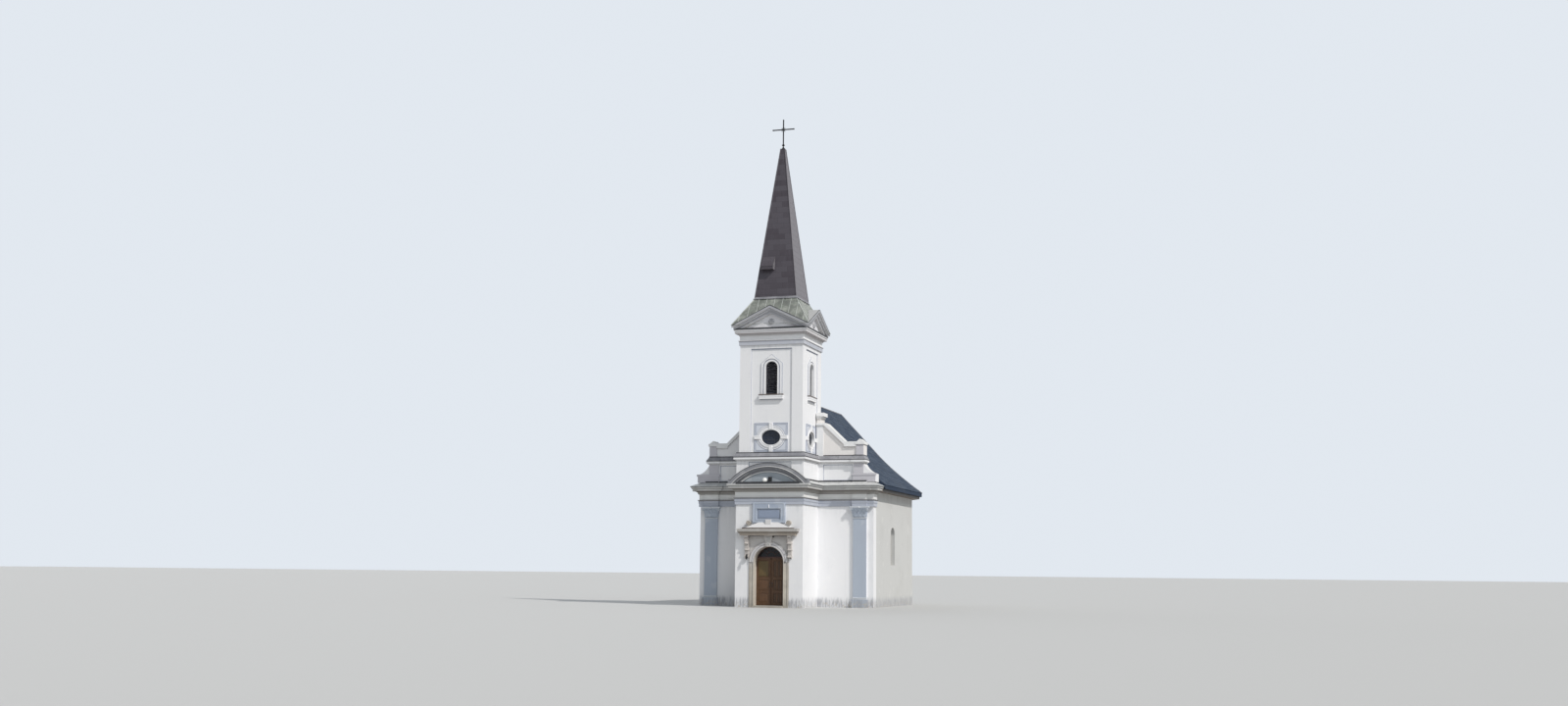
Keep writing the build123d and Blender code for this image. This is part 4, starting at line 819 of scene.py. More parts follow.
def arch_line(half, spring, y, foot=None, count=25):
    """Points of a half circle over an opening: half * (cos, sin), with straight legs down to foot."""
    turn = np.linspace(np.pi, 0, count)
    arch = np.stack([half * np.cos(turn), np.full(count, y), spring + half * np.sin(turn)], -1)
    if foot is None:
        return arch
    return np.concatenate([[(-half, y, foot)], arch, [(half, y, foot)]])


def ring(centre, across, over, count):
    """Points round an ellipse: centre + across * cos(angle) + over * sin(angle)."""
    angle = np.linspace(0, 2 * np.pi, count, endpoint=False)[:, None]
    return np.asarray(centre) + np.cos(angle) * np.asarray(across) + np.sin(angle) * np.asarray(over)


def ray(centre, angle, near, far):
    """Two points on an upright line out of a centre, at an angle in degrees from +X."""
    turn = math.radians(angle)
    return [np.add(centre, (r * math.cos(turn), 0, r * math.sin(turn))) for r in (near, far)]


def spiral(centre, along, up, size, turns):
    """Points of a scroll that closes in: radius = size * exp(-0.17 * angle), in the plane of along and up."""
    angle = np.linspace(0, turns * 2 * np.pi, 56)[:, None]
    radius = size * np.exp(-0.17 * angle)
    return np.asarray(centre) + radius * (np.cos(angle) * np.asarray(along) + np.sin(angle) * np.asarray(up))


def tube(path, radius, sides, closed, guide):
    """Grid of a round bar along a path of points; radius is one number or one per point.

    side is the cross product of the path's direction and guide, a direction that the path never
    takes, over is square to both, and the circle is path + radius * (cos * side + sin * over).
    """
    path = np.asarray(path, float)
    radius = np.broadcast_to(radius, len(path))
    ahead = np.roll(path, -1, 0) - np.roll(path, 1, 0) if closed else np.gradient(path, axis=0)
    ahead /= np.linalg.norm(ahead, axis=1, keepdims=True)
    side = np.cross(ahead, np.asarray(guide, float))
    side /= np.linalg.norm(side, axis=1, keepdims=True)
    over = np.cross(side, ahead)
    turn = np.linspace(0, 2 * np.pi, sides, endpoint=False)
    circle = np.cos(turn)[None, :, None] * side[:, None] + np.sin(turn)[None, :, None] * over[:, None]
    return path[:, None] + circle * radius[:, None, None]


def turned(profile, centre, sides, axis="z"):
    """Grid of a turned body: (radius, height) points carried round an axis through centre, which
    points up or, for "front", out of the facade."""
    radius, height = np.asarray(profile, float).T[..., None]
    turn = np.linspace(0, 2 * np.pi, sides, endpoint=False)
    across, over = radius * np.cos(turn), radius * np.sin(turn)
    along = np.broadcast_to(height, across.shape)
    order = (across, over, along) if axis == "z" else (across, -along, over)
    return np.stack(order, -1) + np.asarray(centre, float)


def half_circle(radius, count):
    """Profile of a ball: radius * (cos, sin), from its foot to its top."""
    polar = np.linspace(-np.pi / 2, np.pi / 2, count)
    return np.stack([radius * np.cos(polar), radius * np.sin(polar)], -1)


def band(inner, outer, bottom, top):
    """A rectangular profile of (outward, height) points for a moulding."""
    return [(inner, bottom), (outer, bottom), (outer, top), (inner, top)]


def strip(near, far, back, front):
    """A rectangular profile of (inset, proud) points for a frame."""
    return [(near, back), (near, front), (far, front), (far, back)]


def three_sides(x_range, back, front):
    """Plan path round the right side, the front and the left side of something on a wall."""
    left, right = x_range
    return [(right, back), (right, front), (left, front), (left, back)]


def mirrored(path):
    """A plan path on the other side of the facade, running the same way round."""
    return [(-x, y) for x, y in reversed(path)]


# Roof slates
dice = np.random.default_rng(7)
straight_share = 0.7
slate_gauge = 0.235
slate_length = 2.1 * slate_gauge
slate_width = 0.30
slate_gap = 0.006
slate_thick = 0.011
slate_overhang = 0.02
shortest_slate = 0.05
narrowest_slate = 0.02


def slope_curve(reach):
    """Outward distance and height down one slope: straight from the ridge, then a quadratic flare."""
    ridge = np.array([0.0, ridge_z])
    bend = np.array([reach * bend_share, eave_z + bend_rise])
    eave = np.array([reach, eave_z])
    start = ridge + (bend - ridge) * straight_share
    t = np.linspace(0, 1, 6)[:, None]
    flare = start * (1 - t) ** 2 + bend * 2 * t * (1 - t) + eave * t ** 2
    return np.concatenate([[ridge], flare])


def slate_slope(surface, centre, outward, reach, limits):
    """Lays slates in courses on one slope, from the eave up.

    The foot of each course lies one gauge above the last, its head is one slate length further up
    the curve, and every second course starts half a slate aside. limits are the two ends of a
    course along the eave, each as (start, rate): start + rate * distance out.
    """
    curve = slope_curve(reach)
    lengths = np.concatenate([[0], np.cumsum(np.linalg.norm(np.diff(curve, axis=0), axis=1))])
    total = lengths[-1]
    along = np.array([-outward[1], outward[0], 0.0])
    outward = np.array([*outward, 0.0])
    for course in range(int(total / slate_gauge) + 1):
        foot = total - course * slate_gauge + slate_overhang
        head = max(foot - slate_length, 0.0)
        if foot - head < shortest_slate:
            continue
        out_foot, out_head = np.interp((min(foot, total), head), lengths, curve[:, 0])
        z_foot, z_head = np.interp((min(foot, total), head), lengths, curve[:, 1])
        first, last = [start + rate * out_foot for start, rate in limits]
        head_limits = [start + rate * out_head for start, rate in limits]
        left = first - slate_width + (course % 2) * slate_width / 2
        left = left + slate_width * np.arange(int((last - first) / slate_width) + 3)
        foot_ends = np.clip((left, left + slate_width - slate_gap), first, last)
        foot_ends = foot_ends[:, foot_ends[1] - foot_ends[0] > narrowest_slate]
        head_ends = np.clip(foot_ends, *head_limits)
        count = foot_ends.shape[1]
        lift = dice.uniform(0.7, 1.3, count) * 2 * slate_thick
        slip = dice.normal(0, 0.004, count)
        down = np.array([out_foot - out_head, z_foot - z_head])
        down /= np.linalg.norm(down)
        normal = down[0] * upward - down[1] * outward
        slide = down[0] * outward + down[1] * upward
        foot_line = centre + out_foot * outward + z_foot * upward
        head_line = centre + out_head * outward + z_head * upward + 0.001 * normal
        feet = foot_line + foot_ends[..., None] * along + lift[:, None] * normal + slip[:, None] * slide
        heads = head_line + head_ends[..., None] * along
        under = np.stack([feet[0], feet[1], heads[1], heads[0]], 1)
        points = np.concatenate([under, under + slate_thick * normal], 1)
        faces = box_quads(count, [[3, 2, 1, 0], [4, 5, 6, 7], [0, 1, 5, 4],
                                  [1, 2, 6, 5], [2, 3, 7, 6], [3, 0, 4, 7]])
        surface.put(points, faces, np.repeat(dice.uniform(0, 1, count), 8))


slant = math.hypot(apse_end_y - corner_y, nave_half - apse_half)
slant_x, slant_y = (apse_end_y - corner_y) / slant, (nave_half - apse_half) / slant
back_corner = (nave_half + eave_reach, corner_y + eave_reach * slant_y / (1 + slant_x))
back_end = (apse_half + eave_reach * slant_x / (1 + slant_y), apse_end_y + eave_reach)
nave_reach = nave_half + eave_reach
hip_rate = (back_corner[1] - ridge_end_y) / nave_reach
slates_start_y = nave_start_y + 0.09
nave_slates = Surface()
slate_slope(nave_slates, (0, 0, 0), (1, 0), nave_reach, ((slates_start_y, 0), (ridge_end_y, hip_rate)))
slate_slope(nave_slates, (0, 0, 0), (-1, 0), nave_reach, ((-ridge_end_y, -hip_rate), (-slates_start_y, 0)))
nave_slates.piece("nave_slates", roof_slate, "roof_covering")

apse_slates = Surface()
ridge_end = (0, ridge_end_y, 0)
for side in (1, -1):
    outward = np.array([side * slant_x, slant_y])
    corners = np.array([back_corner, back_end]) * (side, 1) - (0, ridge_end_y)
    reach = corners[0] @ outward
    rates = sorted(corners @ (-outward[1], outward[0]) / reach)
    slate_slope(apse_slates, ridge_end, outward, reach, [(0, rate) for rate in rates])
end_reach = back_end[1] - ridge_end_y
end_rate = back_end[0] / end_reach
slate_slope(apse_slates, ridge_end, (0, 1), end_reach, ((0, -end_rate), (0, end_rate)))
apse_slates.piece("apse_slates", roof_slate, "roof_covering")

# Ridge and hip cappings: half-round lead rolls
rolls = Surface()
rolls.bar([(0, axis_y + belfry_half + 0.02, ridge_z), (0, ridge_end_y, ridge_z)], 0.055, 10, guide=upward)
for corner_x, corner_end_y in (back_corner, back_end):
    for side in (1, -1):
        rolls.bar([(side * corner_x * out, ridge_end_y + (corner_end_y - ridge_end_y) * out, z + 0.005)
                   for out, z in slope_curve(1.0)], 0.05, 10, guide=upward)
rolls.piece("roof_rolls", flashing_sheet, "roof_covering", smooth=40)


def square_rings(rings):
    """Grid of level squares round the tower's axis, from (half width, height) pairs."""
    return np.array([[(x * half, axis_y + y * half, z) for x, y in ((1, -1), (1, 1), (-1, 1), (-1, -1))]
                     for half, z in rings])


def corner_rolls(surface, ends, radius, guide=to_back):
    """Round bars on the four corners, between two (half width, height) pairs."""
    for line in square_rings(ends).transpose(1, 0, 2):
        surface.bar(line, radius, 8, guide=guide)


# Spire sheets: level courses with a small step at each joint, and rolls on the four corners
heights = np.repeat(np.arange(spire_foot, spire_top, course_rise), 2)[1:]
taper = (spire_half - spire_tip_half) / (spire_top - spire_foot)
proud = np.where(np.arange(len(heights)) % 2 == 0, 0.004, 0.016)
widths = spire_half - taper * (heights - spire_foot) + proud
course_rings = [*zip(widths, heights), (spire_tip_half + 0.006, spire_top - 0.01)]
spire_courses = Surface().grid(square_rings(course_rings), wrap_columns=True)
corner_rolls(spire_courses, ((spire_half + 0.012, spire_foot), (spire_tip_half + 0.012, spire_top)), 0.024)
spire_courses.piece("spire_courses", spire_sheet, "spire_sheet")

# Flashing round the foot of the spire
foot_rings = [(spire_half + out, spire_foot + rise) for out, rise in (
    (0.0, 0.075), (0.030, 0.065), (0.040, 0.0), (0.085, -0.035), (0.080, -0.055), (0.0, -0.02))]
Surface().grid(square_rings(foot_rings), wrap_rows=True, wrap_columns=True).piece(
    "spire_foot_flashing", flashing_sheet, "skirt_sheet")

# Standing seams and hip rolls of the skirt roof
skirt_foot, skirt_head = low("skirt_roof").z, high("skirt_roof").z
skirt_half = high("skirt_roof").x
fall = (skirt_half - spire_half) / (skirt_head - skirt_foot)
seam_gauge = 0.44
shortest_seam = 0.1
seams = Surface()
for quarters in range(4):
    for x in np.arange(-4 * seam_gauge, 4.1 * seam_gauge, seam_gauge):
        seam_head = min(skirt_head, skirt_head - (abs(x) - spire_half) / fall)
        seam_foot = max(apex_z - abs(x) / pediment_half, skirt_foot)
        if seam_head - seam_foot > shortest_seam:
            line = [(x, axis_y - spire_half - fall * (skirt_head - z), z + 0.012)
                    for z in (seam_foot, seam_head - 0.01)]
            seams.bar(quarter_turned(line, quarters), 0.018)
corner_rolls(seams, ((skirt_half - 0.005, skirt_foot), (spire_half - 0.005, skirt_head)), 0.028, upward)
seams.piece("skirt_seams", seam_sheet, "skirt_sheet", smooth=50)

# Sheet edges and flashings; the dark lines are real sheet lips, made nearly black as painted shade
cornice_run = [(facade_half, nave_start_y), (facade_half, facade_y), (pilaster_outer, facade_y),
               (pilaster_outer, pilaster_front), (pilaster_inner, pilaster_front), (pilaster_inner, facade_y),
               (tower_half, facade_y), (tower_half, face_y)]
pedestal_outer = facade_half - pedestal_inset
pedestal_inner = pedestal_outer - pedestal_width
pedestal_front = facade_y - pedestal_reach
string_run = [(pedestal_outer, nave_start_y), (pedestal_outer, pedestal_front),
              (pedestal_inner, pedestal_front), (pedestal_inner, facade_y), (tower_half, facade_y),
              (tower_half, face_y)]
string_run += mirrored(string_run)
belfry_run = [(x * belfry_half, axis_y + y * belfry_half) for x, y in ((1, 1), (1, -1), (-1, -1), (-1, 1))]
drip_z = tower_top - 0.185
Surface().moulding(string_run, [
    (0.118, drip_z - 0.022), (0.132, drip_z - 0.022), (0.132, drip_z + 0.010), (0.012, tower_top + 0.014),
    (0.0, tower_top + 0.014), (0.0, tower_top), (0.121, drip_z)]).piece(
        "string_sheet", flashing_sheet, "capping_sheet")
Surface().moulding(string_run, band(0.116, 0.130, drip_z - 0.135, drip_z - 0.040)).piece(
    "string_fillet", belfry_trim, "render_mouldings")
edges = Surface()
edges.moulding(string_run, band(0.117, 0.137, drip_z - 0.030, drip_z + 0.002))
edges.moulding(string_run, band(-0.002, 0.018, tower_top + 0.010, tower_top + 0.050))
for run in (cornice_run, mirrored(cornice_run)):
    edges.moulding(run, band(-0.002, 0.016, capping_top - 0.03, capping_top + 0.07))
    edges.moulding(run, band(0.416, 0.436, corona_top - 0.010, corona_top + 0.006))
edges.moulding([(1.70, face_y), (-1.70, face_y)], band(0.352, 0.392, corona_top - 0.03, corona_top + 0.095))
edges.moulding(belfry_run, band(0.255, 0.290, belfry_top - 0.012, belfry_top + 0.075), closed=True)
edges.piece("sheet_shade_edges", dark_sheet_painted_shade, "capping_sheet")


def rake_bars(drop, inset):
    """A round bar along both rakes of each small pediment, lowered by drop and drawn in by inset."""
    y = axis_y - pediment_half + inset
    foot_x = pediment_half - inset
    foot_z = apex_z - drop - foot_x / pediment_half
    return Surface().bar([(-foot_x, y, foot_z), (0, y, apex_z - drop), (foot_x, y, foot_z)], 0.016,
                         8).round_tower()


# Small pediments of the tower: dark raking edges of painted shade, pale fillets under them and a rosette in
# each
rake_bars(0.0, 0.0).piece("rake_shade_edges", dark_sheet_painted_shade, "skirt_sheet", smooth=50)
rake_bars(0.14, 0.08).piece("rake_fillets", belfry_trim, "render_mouldings", smooth=50)


def rosette(centre, radius, proud, petals=8):
    """Grid of a flower: proud * (1 - r^2) * (1 + 0.4 * r * cos(petals * angle)) in front of its centre."""
    share, angle = np.meshgrid(np.linspace(0, 1, 9), np.linspace(0, 2 * np.pi, 8 * petals, endpoint=False),
                               indexing="ij")
    lift = proud * (1 - share ** 2) * (1 + 0.4 * share * np.cos(petals * angle))
    edge = radius * share * (1 + 0.10 * share * np.cos(petals * angle))
    return np.stack([edge * np.cos(angle), -lift, edge * np.sin(angle)], -1) + np.asarray(centre)


boss_lift = 0.40
boss_y, boss_z = axis_y - tympanum_half, belfry_top + boss_lift
boss = Surface().grid(rosette((0, boss_y - 0.038, boss_z), 0.15, 0.05), wrap_columns=True, ends=True)
boss.bar(ring((0, boss_y - 0.004, boss_z), (0.16, 0, 0), (0, 0, 0.16), 32), 0.014, closed=True)
boss.round_tower().piece("pediment_rosettes", pediment_render, "render_mouldings", smooth=60)

# Curved pediment: a dark outer edge of painted shade and pale inner rolls
segment_radius = (segment_half ** 2 + segment_rise ** 2) / (2 * segment_rise)
segment_centre = corona_top + segment_lift + segment_rise - segment_radius


def segment_line(drop, y):
    """Points of the pediment's arc down to the cornice: centre + (radius - drop) * (sin, cos)."""
    radius = segment_radius - drop
    reach = min(math.acos((corona_top - segment_centre) / radius), math.asin(min(segment_half / radius, 1)))
    turn = np.linspace(-reach, reach, 49)
    return np.stack([radius * np.sin(turn), np.full(49, y), segment_centre + radius * np.cos(turn)], -1)


segment_front = face_y - 0.335
Surface().bar(segment_line(0.0, segment_front), 0.016, 8).piece(
    "curved_pediment_shade_edge", dark_sheet_painted_shade, "capping_sheet", smooth=50)
Surface().bar(segment_line(0.182, segment_front), 0.016, 8).bar(
    segment_line(0.435, face_y - 0.155), 0.026, 8).piece(
        "curved_pediment_rolls", moulded_render, "render_mouldings", smooth=50)

# Portal: rolls and dark lines of painted shade in the hollows round the arch and its frame, pale bands on the
# archivolt, keystone panel
stone_foot = 0.12
portal_rolls = Surface()
portal_rolls.bar(arch_line(door_half + 0.022, door_spring, portal_y + 0.002, 0.10), 0.018, 8)
portal_rolls.bar(arch_line(door_half + 0.225, door_spring, portal_y + 0.002), 0.020, 8)
portal_shade_lines = Surface()
for out in (0.110, 0.248):
    portal_shade_lines.bar(arch_line(door_half + out, door_spring, portal_y + 0.001), 0.014)
for side in (-1, 1):
    portal_rolls.block((side * 1.02 - 0.015, face_y - 0.052, stone_foot), (0.03, 0, 0), (0, 0.03, 0),
                       (0, 0, door_spring - 0.16))
    for x, depth in ((0.99, 0.042), (1.052, 0.002)):
        portal_shade_lines.bar([(side * x, face_y - depth, z) for z in (stone_foot, door_spring + 0.9)], 0.014)
# A dark bar under the hood: painted shadow
portal_shade_lines.bar([(x, face_y - 0.042, hood_foot - 0.03) for x in (-1.05, 1.05)], 0.030, guide=upward)
portal_rolls.piece("portal_rolls", portal_stone, "portal_stone", smooth=50)
portal_shade_lines.piece("portal_shade_lines", shade_line_stone, "portal_stone", smooth=50)
archivolt = Surface()
for inner, outer in ((0.045, 0.092), (0.128, 0.205)):
    edge_lines = [arch_line(door_half + out, door_spring, portal_y - proud) for out, proud in
                  strip(inner, outer, -0.002, 0.007)]
    archivolt.grid(np.stack(edge_lines, 1), wrap_columns=True, ends=True)
archivolt.piece("archivolt_bands", pale_stone, "portal_stone", smooth=30)
keystone_panel_half = 0.085
keystone_panel_z = (3.15, 3.56)
Surface().field((-keystone_panel_half, keystone_panel_half), keystone_panel_z, portal_y - 0.07, [
    (0, -0.002), (0, 0.012), (0.014, 0.020), (0.026, 0.020), (0.034, 0.008), (0.05, 0.008),
    (0.07, 0.024)]).piece("keystone_panel", keystone_stone, "portal_stone", bevel=0.003)

# Door leaves, outer faces: fielded panels on the left one, upright boards on the right one, and ironwork
panel_reach = (0.115, 0.715)
panel_rows = ((0.216, 0.741), (0.851, 1.422), (1.532, 2.375))
panel_bead = [(0.0, -0.004), (0.0, 0.010), (0.010, 0.022), (0.022, 0.024), (0.034, 0.014), (0.034, -0.004)]
panel_field = [(0.036, -0.004), (0.036, 0.004), (0.085, 0.014), (0.093, 0.016)]
board_field = [(0, -0.004), (0, 0.004), (0.008, 0.010)]
edge_field = [(0, -0.004), (0, 0.006), (0.006, 0.014), (0.014, 0.018)]
rim_bead = [(0.0, -0.003), (0.0, 0.004), (0.006, 0.008), (0.014, 0.004), (0.014, -0.003)]
lock_plate = [(0, -0.003), (0, 0.003), (0.004, 0.006)]
keyhole = [(0, -0.002), (0, 0.003), (0.002, 0.004)]
stud = [(0.0, 0.010), (0.006, 0.008), (0.010, 0.003), (0.011, -0.002)]
sunk_y = leaf_y + 0.018
boards = 5


def beside(side, near, far):
    """Range of x between two distances from the middle, on the side given as -1 or 1."""
    return sorted((side * near, side * far))


for name, side in (("left", -1), ("right", 1)):
    mouldings, fields, second = Surface(), Surface(), Surface()
    x_range = beside(side, *panel_reach)
    board_width = (x_range[1] - x_range[0] - 0.08) / boards
    for row, z_range in enumerate(panel_rows):
        mouldings.frame(x_range, z_range, sunk_y, panel_bead)
        if side < 0:
            (second if row == 2 else fields).field(x_range, z_range, sunk_y, panel_field)
            continue
        for board in range(boards):
            left = x_range[0] + 0.04 + board * board_width
            (second if board % 2 else fields).field((left + 0.002, left + board_width - 0.002),
                                                    (z_range[0] + 0.036, z_range[1] - 0.036), sunk_y,
                                                    board_field)
    mouldings.field(beside(side, 0.007, 0.045), (0.12, 2.47), leaf_y, edge_field)
    mouldings.frame(beside(side, 0.055, 0.775), (0.16, 2.43), leaf_y, rim_bead)
    hardware = Surface().field(beside(side, 0.030, 0.088), (1.00, 1.27), leaf_y, lock_plate)
    hardware.field((side * 0.059 - 0.006, side * 0.059 + 0.006), (1.03, 1.07), leaf_y - 0.006, keyhole)
    for x in (0.62, 0.20):
        for z in (0.16, 0.79, 1.475, 2.43):
            hardware.lathe(stud, (side * x, leaf_y, z), 10, "front")
    leaf = f"{name}_leaf"
    mouldings.piece(f"door_mouldings_{name}", door_wood, "door_wood", leaf, bevel=0.0015)
    fields.piece(f"door_fields_{name}", door_wood if side < 0 else dark_wood, "door_wood", leaf)
    second.piece(f"door_panels_{name}", olive_wood if side < 0 else door_wood, "door_wood", leaf)
    hardware.piece(f"door_hardware_{name}", iron, "iron", leaf, smooth=40)

# Fanlight: radial bars round a small half circle
fan_radius = 0.24
fan_centre = (0, leaf_y + 0.018, low("fanlight_glass").z)
fan = Surface().bar(arch_line(fan_radius, fan_centre[2], fan_centre[1], count=17), 0.013)
for angle in (30, 60, 90, 120, 150):
    fan.bar(ray(fan_centre, angle, fan_radius, 0.60), 0.011)
fan.piece("fanlight_bars", fanlight_paint, "door_wood", smooth=50)

# Hood: cove mouldings between its steps, a roll, and a strip of brown sheet under the cap as a line of
# painted shade
hood_run = three_sides((-hood_half, hood_half), face_y, hood_front)
hood_steps = Surface()
for inset, reach, z in ((0.12, 0.07, hood_foot + 0.132), (0.05, 0.05, hood_foot + 0.2046)):
    turn = np.linspace(0, np.pi / 2, 7)
    cove = np.stack([reach * (1 - np.cos(turn)) - inset, z - reach * (1 - np.sin(turn))], -1)
    hood_steps.moulding(hood_run, [(-inset - 0.004, z + 0.002), (-inset - 0.004, z - reach), *cove,
                                   (reach - inset, z + 0.002)])
hood_steps.moulding(hood_run, [(-0.005, hood_top - 0.05), (0.012, hood_top - 0.045),
                               (0.018, hood_top - 0.02), (0.012, hood_top + 0.006),
                               (-0.06, hood_top + 0.012), (-0.06, hood_top - 0.02)])
# A strip of brown sheet at the cap's foot, dark as a line of painted shade
Surface().moulding(three_sides((-hood_line_half, hood_line_half), face_y, face_y - hood_line_reach),
                   band(-0.01, 0.012, hood_top + 0.012, hood_top + 0.062)).piece(
                       "hood_shade_line", brown_sheet, "capping_sheet")
hood_steps.piece("hood_mouldings", hood_render, "render_mouldings", smooth=40)

# Brackets under the hood: side scrolls, and two rings round each
consoles = Surface()
for side in (-1, 1):
    for x in (side * console_x, side * (console_x + console_width)):
        consoles.scroll((x, face_y - 0.10, hood_foot - console_drop + 0.08), (0, -1, 0), (0, 0, 1), 0.085,
                        guide=to_right)
        consoles.scroll((x, face_y - 0.17, hood_foot - 0.13), (0, -1, 0), (0, 0, -1), 0.09, guide=to_right)
    for share, drop in ((0.80, 0.355), (0.64, 0.635)):
        run = three_sides(beside(side, console_x - 0.004, console_x + console_width + 0.004), face_y,
                          face_y - share * console_reach)
        consoles.moulding(run, ring((0.004, hood_foot - drop * console_drop), (0.016, 0), (0, 0.022), 8))
consoles.piece("console_scrolls", console_render, "render_mouldings", smooth=60)

# Plaque: beads, the dark line of painted shade round its bare panel, the upright over it and the scrolls
# beside it
plaque_x = (-plaque_field_half, plaque_field_half)
panel_z = (plaque_z[0] + plaque_borders[0], plaque_z[1] - plaque_borders[1])
beads = Surface().frame((-plaque_half, plaque_half), plaque_z, plaque_front, [
    (0.03, -0.003), (0.03, 0.012), (0.045, 0.018), (0.065, 0.018), (0.075, 0.006), (0.075, -0.003)])
beads.frame(plaque_x, panel_z, plaque_front, [
    (-0.035, -0.003), (-0.035, 0.012), (-0.015, 0.014), (-0.002, 0.0), (-0.002, -0.003)])
beads.piece("plaque_beads", plaque_trim, "render_mouldings")
Surface().frame(plaque_x, panel_z, plaque_field_y, strip(0.045, 0.063, -0.002, 0.006)).piece(
    "plaque_shade_line", plaque_shade, "render_mouldings")
Surface().field(plaque_x, panel_z, plaque_field_y, [(0.095, -0.002), (0.095, 0.008), (0.11, 0.014)]).piece(
    "plaque_panel", plaque_field, "render_mouldings")
stub_x = (-0.012, 0.028)
stub_z = (5.02, 5.19)
Surface().field(stub_x, stub_z, plaque_front, [(0, -0.003), (0, 0.02), (0.006, 0.028)]).piece(
    "plaque_stub", belfry_trim, "render_mouldings")
scrolls = Surface()
for side in (-1, 1):
    scrolls.scroll((side * (plaque_half + 0.2), face_y - 0.152, plaque_z[0]), (-side, 0, 0), (0, 0, 1), 0.115,
                   (0.020, 0.008))
scrolls.piece("plaque_spirals", scroll_render, "render_mouldings", smooth=60)


def oval(margin, y):
    """Points of an ellipse round the round window's opening, widened by a margin."""
    return ring((0, y, oculus_z), (oculus_half_width + margin, 0, 0), (0, 0, oculus_half_height + margin), 56)


# Round windows: rolls round the opening, a plate lined with painted shade, four keys with panels, and glazing
# bars
key_profile = [(0, -0.003), (0, 0.012), (0.012, 0.020), (0.03, 0.020), (0.036, 0.012)]
key_half = 0.09
rings = Surface().bar(oval(0.022, plate_y - 0.042), 0.024, 8, closed=True)
rings.bar(oval(0.118, plate_y - 0.042), 0.016, 8, closed=True)
for side in (1, -1):
    rings.field((-key_half, key_half), [oculus_z + z for z in beside(side, 0.42, 0.74)], plate_y - 0.06,
                key_profile)
for side in (1, -1):
    rings.field(beside(side, 0.55, 0.89), (oculus_z - key_half, oculus_z + key_half), plate_y - 0.06,
                key_profile)
lines = Surface().bar(oval(0.185, plate_y - 0.028), 0.013, closed=True)
lines.bar(oval(0.262, plate_y - 0.012), 0.015, closed=True)
plate_x = (-plate_half_width, plate_half_width)
plate_z = (oculus_z - plate_half_height, oculus_z + plate_half_height)
for inset in (0.02, 0.085):
    lines.frame(plate_x, plate_z, plate_y - 0.015, strip(inset, inset + 0.022, -0.002, 0.008))
bars = Surface()
bar_y = belfry_face_y + 0.142
for x in (-0.17, 0.17):
    rise = oculus_half_height * math.sqrt(1 - (x / oculus_half_width) ** 2)
    bars.bar([(x, bar_y, oculus_z - rise), (x, bar_y, oculus_z + rise)], 0.009)
for z in (-0.13, 0.13):
    reach = oculus_half_width * math.sqrt(1 - (z / oculus_half_height) ** 2)
    bars.bar([(-reach, bar_y, oculus_z + z), (reach, bar_y, oculus_z + z)], 0.009, guide=upward)
window_sides = (0, 1, 3)
rings.round_tower(window_sides).piece("round_window_rings", surround_render, "render_mouldings", smooth=50)
lines.round_tower(window_sides).piece("round_window_shade_lines", plate_shade, "render_mouldings", smooth=50)
bars.round_tower(window_sides).piece("round_window_bars", bar_paint, "window_paint", smooth=50)

# Painted shade lines round the sunk panels and the louvred windows, and the sills of those windows
panel_x = (-belfry_panel_half, belfry_panel_half)
panel_head = band_foot - belfry_panel_drop
surround_half = 0.572
surround_line = [(-surround_half, 0.225), (-0.286, 0.45), (0, 0.69), (0.286, 0.45), (surround_half, 0.225)]
sill_run = three_sides((-sill_half, sill_half), plate_y, plate_y - sill_reach)
shade_lines, coves, covers = Surface(), Surface(), Surface()
for quarters, sill in enumerate(louvre_sills):
    panel_foot = ridge_z + 0.05 if quarters == 2 else tower_top + 0.03
    one = Surface().frame(panel_x, (panel_foot, panel_head), plate_y,
                          [(0.0, -0.002), (0.0, 0.012), (0.016, 0.012), (0.022, -0.002)])
    one.field(panel_x, (panel_head - 0.05, panel_head - 0.002), plate_y, [(0.0, -0.002), (0.0, 0.010)])
    one.bar(arch_line(0.435, louvre_spring, plate_y - 0.036, sill + 0.004), 0.014)
    outline = [(-surround_half, sill), *[(x, louvre_spring + rise) for x, rise in surround_line],
               (surround_half, sill)]
    one.bar([(x, plate_y - 0.004, z) for x, z in outline], 0.018)
    # A dark line under the sill: painted shade
    one.bar([(x, plate_y - 0.015, sill - 0.262) for x in (-0.62, 0.62)], 0.020, guide=upward)
    cove = Surface().moulding(sill_run, [(-0.004, sill - 0.155), (0.008, sill - 0.15), (0.012, sill - 0.13),
                                         (0.008, sill - 0.11), (-0.004, sill - 0.105)])
    cover = Surface().moulding(sill_run, [(-0.10, sill + 0.006), (0.016, sill + 0.001),
                                          (0.020, sill - 0.045), (0.014, sill - 0.045),
                                          (0.010, sill - 0.004), (-0.10, sill - 0.001)])
    for whole, part in ((shade_lines, one), (coves, cove), (covers, cover)):
        whole.join(part.round_tower((quarters,)))
attic_frame = [(0.0, -0.003), (0.0, 0.010), (0.022, 0.010), (0.028, -0.003)]
panel_top = capping_top + wing_panel_head
shade_lines.frame((-attic_panel_half, attic_panel_half), (capping_top, panel_top), face_y + panel_depth,
              attic_frame)
for side in (-1, 1):
    near_x = tower_half + wing_panel_inset
    shade_lines.frame(beside(side, near_x, near_x + wing_panel_width), (capping_top + 0.08, panel_top),
                  facade_y + panel_depth, attic_frame)
shade_lines.piece("panel_shade_lines", plate_shade, "render_mouldings", smooth=40)
coves.piece("window_sill_rolls", surround_render, "render_mouldings", smooth=40)
covers.piece("window_sill_sheets", brown_sheet, "capping_sheet")


